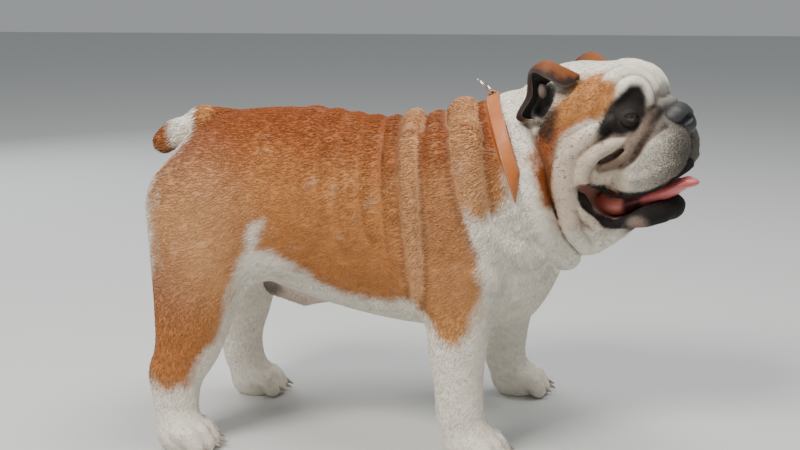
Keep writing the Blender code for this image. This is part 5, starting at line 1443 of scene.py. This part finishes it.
# A tuft is a flat keeled blade of six corners: two at its root, two at its middle, the keel and the tip. It
# is closed all round, darkened at its root as painted shade and lightened towards its tip as painted light.
BLADE_FACES = np.array(
    ((0, 1, 4), (0, 4, 2), (1, 3, 4), (2, 4, 5), (4, 3, 5), (0, 2, 3), (0, 3, 1), (2, 5, 3)))
BLADE_SHADE = (-0.3, -0.3, 0.0, 0.0, 0.10, 0.25)
# Size of a tuft's patch on the flat layout, and where its corners lie on it
BAKE_PATCH = 0.003
BLADE_PATCH = BAKE_PATCH * np.array(
    ((-0.3, -0.5), (0.3, -0.5), (-0.3, 0.1), (0.3, 0.1), (0.0, 0.15), (0.0, 0.5)))
# The collar's strap, how deep it presses into the folds, and how far round from the nape, in
# degrees, the skin of the throat covers its back and front edge
COLLAR_WIDTH = 0.015
COLLAR_THICKNESS = 0.0035
COLLAR_FOLD_DEPTH = 0.006
COVERED_FROM = (106.0, 92.0)
collar_axis = np.array(COLLAR_AXIS) / np.linalg.norm(COLLAR_AXIS)
collar_left = np.array((0.0, 1.0, 0.0))
collar_top = np.cross(collar_axis, collar_left)
HAIR = coat_material("short_hair", 0.34, 0.62, 0.0)
draw = np.random.default_rng(7)


def lie_of_hair(points, normals):
    """The way the hair lies at places on the skin, as unit directions."""
    x, _, z = points.T
    count = len(points)
    lie = np.tile(TRUNK_LIE, (count, 1))
    leg = soft_step(0.185 - z, 0.06)
    breast = soft_step(x - 0.115, 0.05) * soft_step(0.33 - z, 0.06)
    tail = soft_step(-0.232 - x, 0.02) * soft_step(z - 0.325, 0.02)
    for way, share in ((LEG_LIE, leg), (BREAST_LIE, breast), (TAIL_LIE, tail)):
        lie = lie * (1 - share[:, None]) + np.array(way) * share[:, None]
    hx, hy, _ = to_head(points).T
    on_head = head_share(points)[:, None]
    spread = np.clip(hy / 0.06, -1.0, 1.0)
    swept = np.column_stack((np.full(count, -1.0), 0.55 * spread, -0.15 - 0.35 * soft_step(hx - 0.02, 0.04)))
    down = np.column_stack((np.ones(count), spread, np.ones(count))) * MUZZLE_LIE
    muzzle = soft_step(hx - 0.050, 0.02)[:, None]
    swept = swept * (1 - muzzle) + down * muzzle
    lie = lie * (1 - on_head) + (swept @ HEAD_AXES) * on_head
    lie -= normals * np.einsum("ij,ij->i", lie, normals)[:, None]
    weak = np.linalg.norm(lie, axis=1, keepdims=True) < 0.05
    lie = np.where(weak, np.cross(normals, (0.0, 1.0, 0.0)), lie)
    return lie / np.maximum(np.linalg.norm(lie, axis=1, keepdims=True), 1e-9)


def hair_length(points):
    """How long the hair is at places on the skin, in metres."""
    x, _, z = points.T
    length = TRUNK_HAIR + WITHERS_HAIR * soft_step(x + 0.02, 0.06) * soft_step(z - 0.25, 0.08)
    length += BREECHES_HAIR * spot(points, *BREECHES_SPOT)
    length += LEG_HAIR * soft_step(0.150 - z, 0.06)
    length += PAW_HAIR * soft_step(0.045 - z, 0.02)
    on_head = head_share(points)
    face = FACE_HAIR + MUZZLE_HAIR * soft_step(to_head(points)[:, 0] - 0.030, 0.04)
    return length * (1 - on_head) + face * on_head


def turn_share(across, up):
    """How far round an axis places lie, from 0 to 1."""
    return np.arctan2(across, up) / (2 * math.pi) + 0.5


def unwrap(points):
    """Where a place on the dog lies on a flat layout of its own shape: head, trunk, legs and tail."""
    x, y, z = points.T
    head = to_head(points)
    u = 0.02 + 0.56 * (x + 0.33) / 0.62
    v = 0.02 + 0.44 * turn_share(y, z - TRUNK_AXIS_HEIGHT)
    on_head = head_share(points) > 0.5
    u = np.where(on_head, 0.02 + 0.44 * (head[:, 0] + 0.12) / 0.24, u)
    v = np.where(on_head, 0.52 + 0.46 * turn_share(head[:, 1], head[:, 2] + 0.045), v)
    corner = 0
    for legs, join in ((FORELEGS, 0.150), (HINDLEGS, 0.190)):
        for name, joints in legs.items():
            sign = 1 if name == "left" else -1
            upwards = np.array(joints)[::-1]
            middle_x = np.interp(z, upwards[:, 2], upwards[:, 0])
            middle_y = np.interp(z, upwards[:, 2], upwards[:, 1])
            near = (z < join) & (y * sign > 0.0) & (np.abs(x - middle_x) < 0.085) & ~on_head
            leg_turn = turn_share(y - middle_y, x - middle_x)
            u = np.where(near, 0.52 + 0.24 * (corner % 2) + 0.22 * leg_turn, u)
            v = np.where(near, 0.52 + 0.24 * (corner // 2) + 0.22 * z / 0.20, v)
            corner += 1
    on_tail = (x < -0.225) & (z > 0.335)
    u = np.where(on_tail, 0.62 + 0.30 * (x + 0.31) / 0.10, u)
    v = np.where(on_tail, 0.02 + 0.30 * turn_share(y + 0.012, z - 0.365), v)
    return np.column_stack((u, v)).clip(0.002, 0.995)


def strap_cover(turn, share):
    """How far loose skin lies over the strap, 0 to 1: turn from the nape, share across the strap."""
    start = np.radians(COVERED_FROM[0] * (1.0 - share) + COVERED_FROM[1] * share)
    return soft_step(turn - start, 0.14)


def bare(points, normals):
    """Places without hair: the mouth, lids, nose, soles and the skin under the collar."""
    head = to_head(points)
    hidden = np.zeros(len(points), dtype=bool)
    offset = points - COLLAR_CENTRE
    along = offset @ collar_axis
    turn = np.arctan2(np.abs(offset[:, 1]), offset @ collar_top)
    covered = strap_cover(turn, np.clip(along / COLLAR_WIDTH + 0.5, 0.0, 1.0)) > 0.6
    strap_top = COLLAR_FOLD_DEPTH + COLLAR_THICKNESS + 0.0010
    hidden |= (np.abs(along) < COLLAR_WIDTH / 2 + 0.0015) & (trunk_base(points) < strap_top) & ~covered
    hidden |= (points[:, 2] < 0.004) & (normals[:, 2] < -0.5)
    hidden |= nose_distance(head) < 0.004
    for side in (-1, 1):
        hidden |= np.linalg.norm(head - eye_middle(side), axis=1) < EYE_RADIUS + 0.0025
    hidden |= (mouth_distance(head) < 0.0030) & (head_base(head) < -0.0030)
    hidden |= ellipsoid(folded(head), *EAR_HOLLOW) < 0.002
    return hidden


def scattered(count, wanted):
    """Roots spread at random over the skin's faces, in step with their size and how many are wanted."""
    corners = skin_places[skin_faces]
    across = np.cross(corners[:, 2] - corners[:, 0], corners[:, 3] - corners[:, 1])
    weight = np.linalg.norm(across, axis=1) * wanted
    chosen = skin_faces[draw.choice(len(skin_faces), size=count, p=weight / weight.sum())]
    a, b = draw.random((2, count, 1))
    shares = ((1 - a) * (1 - b), a * (1 - b), a * b, (1 - a) * b)
    roots = sum(share * skin_places[chosen[:, corner]] for corner, share in enumerate(shares))
    normals = sum(share * skin_normals[chosen[:, corner]] for corner, share in enumerate(shares))
    depth = sum(share[:, 0] * skin_creases[chosen[:, corner]] for corner, share in enumerate(shares))
    return roots, normals / np.linalg.norm(normals, axis=1, keepdims=True), depth


def add_tufts(name, roots, normals, depth):
    """One piece of coat from roots on the skin."""
    count = len(roots)
    lie = lie_of_hair(roots, normals)
    turn = np.radians(draw.normal(0.0, TUFT_SCATTER, count))[:, None]
    lie = lie * np.cos(turn) + np.cross(normals, lie) * np.sin(turn)
    aside = np.cross(normals, lie)
    hollow = np.clip(depth, 0.0, 1.0)
    length = (hair_length(roots) * (1.0 - 0.45 * hollow) * draw.uniform(*TUFT_LENGTHS, count))[:, None]
    width = length * draw.uniform(*TUFT_WIDTHS, count)[:, None] + LEAST_WIDTH
    rise = np.tan(np.radians(draw.uniform(*TUFT_LIFTS, count) + 8.0 * hollow))[:, None]
    root = roots - normals * 0.0004
    middle = root + lie * length * 0.5 + normals * (length * 0.5 * rise + 0.0006)
    tip = root + lie * length + normals * (length * 0.78 * rise + 0.0005)
    corners = np.stack((root - aside * width, root + aside * width, middle - aside * width * 0.8,
                        middle + aside * width * 0.8, middle + normals * width * 0.45, tip), axis=1)
    corners[:, :, 2] = np.maximum(corners[:, :, 2], ABOVE_FLOOR - ROW_SHIFT[2])
    faces = (BLADE_FACES[None] + 6 * np.arange(count)[:, None, None]).reshape(-1, 3)
    coat = mesh_object(name, corners.reshape(-1, 3) + ROW_SHIFT, faces)
    shares = hair_shares(roots, depth)
    # Salt and pepper: in grey hair some tufts are nearly black and the rest nearly white
    dark_tuft = draw.random(count) < 0.70 * shares["pepper"] ** 1.4
    shares["black"] = np.where(dark_tuft, np.maximum(shares["black"], 0.82), shares["black"])
    shares["pepper"] = shares["pepper"] * 0.45
    shares = {key: np.repeat(values, 6) for key, values in shares.items()}
    # Random tone for each tuft, with painted shade at its root and painted light towards its tip
    shade = np.repeat(draw.normal(0.0, 0.20, count), 6) + np.tile(BLADE_SHADE, count)
    keep_markings(coat, shares, shade)
    layout = coat.data.uv_layers.new(name="OFBake")
    places = (unwrap(roots)[:, None, :] + BLADE_PATCH).reshape(-1, 2)
    layout.data.foreach_set("uv", places[faces.ravel()].astype(np.float32).ravel())
    coat.data.materials.append(HAIR)
    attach(coat, "root")


face_middles = skin_places[skin_faces].mean(axis=1)
on_face = head_share(face_middles)
for part, count, wanted in (("body", TUFTS, 1.0 - on_face + 1e-4), ("head", HEAD_TUFTS, on_face + 1e-4)):
    roots, normals, depth = scattered(count, wanted)
    shown = ~bare(roots, normals)
    roots, normals, depth = roots[shown], normals[shown], depth[shown]
    for piece, start in enumerate(range(0, len(roots), TUFTS_A_PIECE)):
        chosen = slice(start, start + TUFTS_A_PIECE)
        add_tufts(f"coat_{part}_{piece}", roots[chosen], normals[chosen], depth[chosen])

# Ears
# Thin rose ears: each leaf leaves the skull, folds over at its rim and hangs back on itself.
# Orange brown outside, black in the hollow and at the back, with a pale tip.
EAR_COLUMNS = 72
EAR_ROWS = 26
# The left ear in the head's frame: its root, its rim, and the edge that folds over
EAR_ROOT = (
    (-0.004, 0.058, 0.036), (-0.020, 0.059, 0.037), (-0.038, 0.060, 0.036), (-0.050, 0.058, 0.022),
    (-0.051, 0.060, 0.004), (-0.042, 0.066, -0.006), (-0.030, 0.070, -0.002),
)
EAR_RIM = (
    (-0.003, 0.063, 0.041), (-0.016, 0.075, 0.049), (-0.034, 0.082, 0.057), (-0.052, 0.080, 0.050),
    (-0.057, 0.082, 0.022), (-0.068, 0.087, -0.002), (-0.041, 0.080, -0.009),
)
EAR_EDGE = (
    (-0.002, 0.066, 0.038), (-0.012, 0.085, 0.030), (-0.031, 0.093, 0.041), (-0.047, 0.088, 0.047),
    (-0.050, 0.085, 0.022), (-0.061, 0.090, 0.000), (-0.037, 0.082, -0.005),
)
# How far across the leaf its root, belly, rim and folded edge lie, and the belly's bulge
EAR_STATIONS = (0.0, 0.35, 0.75, 1.0)
EAR_BULGE = (-0.004, 0.0, -0.001)
# Thickness, the shares of it at the root and at the edge, and how much of the leaf is rounded off
EAR_THICKNESS = 0.0032
EAR_TAPER = (1.0, 0.55)
EAR_ROUNDED = 0.06


def ear_leaf(side):
    """Places on the two sides of an ear's leaf, with how far along and out each one lies."""
    curves = [resample(curve, EAR_COLUMNS) * (1.0, side, 1.0) for curve in (EAR_ROOT, EAR_RIM, EAR_EDGE)]
    belly = 0.5 * (curves[0] + curves[1]) + np.array(EAR_BULGE)
    rows = np.stack([curves[0], belly, curves[1], curves[2]])
    share = np.linspace(0.0, 1.0, EAR_ROWS)
    grid = np.empty((EAR_COLUMNS, EAR_ROWS, 3))
    for column in range(EAR_COLUMNS):
        for axis in range(3):
            grid[column, :, axis] = smooth_curve(share, EAR_STATIONS, rows[:, column, axis])
    normal = np.cross(np.gradient(grid, axis=0), np.gradient(grid, axis=1))
    normal /= np.maximum(np.linalg.norm(normal, axis=2, keepdims=True), 1e-9)
    if normal[EAR_COLUMNS // 4, EAR_ROWS // 3, 2] < 0.0:
        normal = -normal
    thickness = EAR_THICKNESS * (EAR_TAPER[0] + (EAR_TAPER[1] - EAR_TAPER[0]) * share)
    thickness *= np.sqrt(np.clip((1.0 - share) / EAR_ROUNDED, 0.0, 1.0))
    offset = normal * thickness[None, :, None] / 2
    along = np.linspace(0.0, 1.0, EAR_COLUMNS)
    return grid + offset, grid - offset, np.repeat(along, EAR_ROWS), np.tile(share, EAR_COLUMNS)


def leaf_faces():
    """Quads over both sides of the leaf and round its edge."""
    offset = EAR_COLUMNS * EAR_ROWS
    faces = []
    for column in range(EAR_COLUMNS - 1):
        for row in range(EAR_ROWS - 1):
            a = column * EAR_ROWS + row
            b, c, d = a + EAR_ROWS, a + EAR_ROWS + 1, a + 1
            faces += [(a, b, c, d), (a + offset, d + offset, c + offset, b + offset)]
    rim = [column * EAR_ROWS for column in range(EAR_COLUMNS)]
    rim += [(EAR_COLUMNS - 1) * EAR_ROWS + row for row in range(1, EAR_ROWS)]
    rim += [column * EAR_ROWS + EAR_ROWS - 1 for column in range(EAR_COLUMNS - 2, -1, -1)]
    rim += [row for row in range(EAR_ROWS - 2, 0, -1)]
    return faces + [(b, a, a + offset, b + offset) for a, b in zip(rim, rim[1:] + rim[:1])]


EAR_HAIR = coat_material("ear_hair", 0.30, 0.60, 0.5)
for side, name in ((1, "left"), (-1, "right")):
    outer, inner, along, out = ear_leaf(side)
    leaf_places = from_head(np.concatenate((outer.reshape(-1, 3), inner.reshape(-1, 3))))
    leaf = mesh_object(f"ear_leaf_{name}", leaf_places + ROW_SHIFT, leaf_faces())
    uneven = 0.25 * ripples(leaf_places, 0.012, 31)
    outer_uneven = uneven[:len(along)]
    none = np.zeros(len(along))
    edge = 0.9 * soft_step(out - 0.90 + 0.1 * outer_uneven, 0.16)
    dark = np.clip(0.30 + 0.08 * outer_uneven + soft_step(along - 0.38, 0.30) + edge, 0.0, 1.0)
    pale = soft_step(along - 0.88, 0.08)
    # Each share outside and inside the leaf
    ear_marks = {
        "orange": (none + 1.0, none),
        "deep": (np.clip(0.92 + 0.2 * outer_uneven, 0.0, 1.0), none),
        "black": (dark * (1.0 - pale) * 0.95, 0.96 * (1.0 - 0.6 * pale)),
        "pepper": (pale, pale),
        "pink": (none, none),
        "crease_shade": (none, none),
    }
    keep_markings(leaf, {key: np.concatenate(pair) for key, pair in ear_marks.items()}, uneven)
    leaf.data.materials.append(EAR_HAIR)
    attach(leaf, "root")
    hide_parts(f"ear_{name}")

# Collar
# A flat strap of orange tan leather, edged with brown waxed stitches. It follows the neck
# between the folds and dips under the loose skin of the throat.
STRAP_SIDES = 180
# Its cross section: from -1 at its back edge to 1 at its front edge, and from its inside, 0,
# to its face, 1
STRAP_PROFILE = (
    (-1.00, 0.15), (-1.00, 0.60), (-0.94, 0.88), (-0.80, 0.96), (0.00, 1.00), (0.80, 0.96),
    (0.94, 0.88), (1.00, 0.60), (1.00, 0.15), (0.94, 0.0), (-0.94, 0.0),
)
# How far out from its middle the neck is looked for, how often the strap's line is evened out,
# and how far it presses into the skin
STRAP_SEARCH = 0.16
STRAP_EVENINGS = 40
STRAP_PRESSED = 0.0003
# How deep the covered part lies under the skin of the throat
STRAP_SUNK = 0.016
STITCH_SPACING = 0.0034
STITCH_LENGTH = 0.0022
STITCH_RADIUS = 0.00038
STITCH_INSET = 0.0017

strap_angles = 2 * math.pi * np.arange(STRAP_SIDES) / STRAP_SIDES
strap_turns = np.minimum(strap_angles, 2 * math.pi - strap_angles)
strap_ways = np.cos(strap_angles)[:, None] * collar_top + np.sin(strap_angles)[:, None] * collar_left


def strap_reach(shift):
    """How far the inside of the strap stands from the collar's middle, all round, at one edge."""
    starts = np.tile(COLLAR_CENTRE + collar_axis * shift, (STRAP_SIDES, 1))
    under_folds = skin_depth(trunk_base, starts, strap_ways, STRAP_SEARCH) + COLLAR_FOLD_DEPTH
    reach = np.minimum(skin_depth(dog, starts, strap_ways, STRAP_SEARCH), under_folds)
    for _ in range(STRAP_EVENINGS):
        reach = (np.roll(reach, 1) + 2 * reach + np.roll(reach, -1)) / 4
    return reach


back_reach, front_reach = strap_reach(-COLLAR_WIDTH / 2), strap_reach(COLLAR_WIDTH / 2)


def on_strap(across, up):
    """Places all round the strap: across from -1 at its back edge to 1, up from its inside to its face."""
    share = (across + 1) / 2
    reach = back_reach * (1 - share) + front_reach * share - STRAP_PRESSED + COLLAR_THICKNESS * up
    reach = reach - STRAP_SUNK * strap_cover(strap_turns, share)
    return COLLAR_CENTRE + collar_axis * across * COLLAR_WIDTH / 2 + strap_ways * reach[:, None]


rings = np.stack([on_strap(across, up) for across, up in STRAP_PROFILE], axis=1)
strap_faces = tube_faces(STRAP_SIDES, len(STRAP_PROFILE), joined=True)
strap = mesh_object("collar_strap", rings.reshape(-1, 3) + ROW_SHIFT, strap_faces)
leather, leather_tree, leather_shader = new_finish("tan_leather", Roughness=0.48, Coat_Weight=0.12)
pores = add_texture(leather_tree, "ShaderNodeTexVoronoi", Scale=1500.0)
raise_grain(leather_tree, leather_shader, pores.outputs["Distance"], 0.35, 0.0003)
wear = add_texture(leather_tree, "ShaderNodeTexNoise", Scale=45.0, Detail=4.0)
leather_tint = mixed(leather_tree, wear.outputs[0], (0.36, 0.090, 0.016), (0.62, 0.200, 0.045))
leather_tree.links.new(leather_tint, leather_shader.inputs["Base Color"])
strap.data.materials.append(leather)
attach(strap, "root")
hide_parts("collar")


def rod_mesh(start, end, radius, sides=6):
    """A short closed rod with rounded ends, as places and faces."""
    along = (end - start) / np.linalg.norm(end - start)
    first = np.cross(along, (0.3, 0.2, 1.0))
    first /= np.linalg.norm(first)
    second = np.cross(along, first)
    angles = 2 * math.pi * np.arange(sides) / sides
    circle = radius * (np.cos(angles)[:, None] * first + np.sin(angles)[:, None] * second)
    inset = along * radius * 0.6
    rings = (start + 0.45 * circle, start + inset + circle, end - inset + circle, end + 0.45 * circle)
    return np.concatenate(rings), tube_faces(len(rings), sides)


rods = []
for edge in (-1, 1):
    line = on_strap(edge * (1 - 2 * STITCH_INSET / COLLAR_WIDTH), 1.0)
    line = np.concatenate((line, line[:1]))
    lengths = np.concatenate(([0.0], np.cumsum(np.linalg.norm(np.diff(line, axis=0), axis=1))))
    for at in np.arange(0.0, lengths[-1] - STITCH_LENGTH, STITCH_SPACING):
        start, end = (np.array([np.interp(at + step, lengths, column) for column in line.T])
                      for step in (0.0, STITCH_LENGTH))
        rods.append(rod_mesh(start, end, STITCH_RADIUS))
stitch_places, stitch_faces = put_together(rods)
stitches = mesh_object("collar_stitches", stitch_places + ROW_SHIFT, stitch_faces)
thread, thread_tree, thread_shader = new_finish("waxed_thread", Roughness=0.6)
twist = add_texture(thread_tree, "ShaderNodeTexNoise", Scale=1800.0, Detail=1.0)
thread_tint = mixed(thread_tree, twist.outputs[0], (0.20, 0.11, 0.06), (0.50, 0.36, 0.24))
thread_tree.links.new(thread_tint, thread_shader.inputs["Base Color"])
stitches.data.materials.append(thread)
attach(stitches, "root")

# Ring
# A plain round of bright steel wire that stands on the collar at the nape, leaning back. Its
# middle is that of the solid it takes the place of.
RING_RADIUS = 0.0112
RING_WIRE = 0.0014
RING_LEAN = 0.55
RING_STEPS = 96
WIRE_SIDES = 16
ring_lean = collar_top - RING_LEAN * collar_axis
ring_lean /= np.linalg.norm(ring_lean)
ring_across = np.cross(ring_lean, collar_left)
ring_low, ring_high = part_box("collar_ring")
ring_middle = (np.array(ring_low) + np.array(ring_high)) / 2
ring_places = []
for step in range(RING_STEPS):
    angle = 2 * math.pi * step / RING_STEPS
    out = math.cos(angle) * ring_lean + math.sin(angle) * collar_left
    for turn in range(WIRE_SIDES):
        round_wire = 2 * math.pi * turn / WIRE_SIDES
        ring_places.append(ring_middle + out * (RING_RADIUS + RING_WIRE * math.cos(round_wire))
                           + ring_across * RING_WIRE * math.sin(round_wire))
wire_ring = mesh_object("wire_ring", np.array(ring_places), tube_faces(RING_STEPS, WIRE_SIDES, joined=True))
steel, steel_tree, steel_shader = new_finish("bright_steel", Metallic=1.0, Roughness=0.24)
rubbed = add_texture(steel_tree, "ShaderNodeTexNoise", Scale=260.0, Detail=3.0)
steel_tint = mixed(steel_tree, rubbed.outputs[0], (0.50, 0.48, 0.44), (0.72, 0.71, 0.68))
steel_tree.links.new(steel_tint, steel_shader.inputs["Base Color"])
wire_ring.data.materials.append(steel)
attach(wire_ring, "root")
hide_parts("collar_ring")

# Loop
# A short folded piece of the same leather on top of the strap, which holds the ring. It is
# modelled as a full roll that is a little thinner at both ends.
LOOP_REACH = 0.006
LOOP_RADIUS = 0.0050
LOOP_HEIGHT = 0.85
LOOP_TAPER = 0.18
LOOP_RINGS = 7
LOOP_SIDES = 20
loop_at = 0.5 * (on_strap(-1.0, 1.0)[0] + on_strap(1.0, 1.0)[0])
loop_places = []
for share in np.linspace(-1.0, 1.0, LOOP_RINGS):
    radius = LOOP_RADIUS * (1.0 - LOOP_TAPER * abs(share) ** 4)
    for step in range(LOOP_SIDES):
        angle = 2 * math.pi * step / LOOP_SIDES
        away = LOOP_HEIGHT * math.cos(angle) * collar_top + math.sin(angle) * collar_axis
        loop_places.append(loop_at + collar_left * LOOP_REACH * share + radius * away)
loop_faces = tube_faces(LOOP_RINGS, LOOP_SIDES)
leather_loop = mesh_object("collar_loop", np.array(loop_places) + ROW_SHIFT, loop_faces)
leather_loop.data.materials.append(leather)
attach(leather_loop, "root")

# Camera
# The view of the photo, fitted to it and carried along with the dog: it looks at the dog's
# right side from a little above its back.
CAMERA_DISTANCE = 1.512
CAMERA_HEIGHT = 0.55
CAMERA_TURN = math.radians(6)
CAMERA_PITCH = math.radians(11.4)
# Widths of the photo and of the sensor, and the focal length in pixels of the photo
PHOTO_WIDTH = 800
SENSOR = 36.0
FOCAL_PIXELS = 1290
away = Vector((math.sin(CAMERA_TURN), -math.cos(CAMERA_TURN), 0.0))
facing = Vector((0.0, 0.0, -math.sin(CAMERA_PITCH))) - away * math.cos(CAMERA_PITCH)
camera = bpy.data.objects.new("camera", bpy.data.cameras.new("camera"))
camera.location = away * CAMERA_DISTANCE + Vector((0.0, 0.0, CAMERA_HEIGHT)) + Vector(ROW_SHIFT)
camera.rotation_euler = facing.to_track_quat("-Z", "Y").to_euler()
camera.data.sensor_width = SENSOR
camera.data.lens = FOCAL_PIXELS * SENSOR / PHOTO_WIDTH
camera.data.clip_start = 0.01
bpy.context.collection.objects.link(camera)
bpy.context.scene.camera = camera
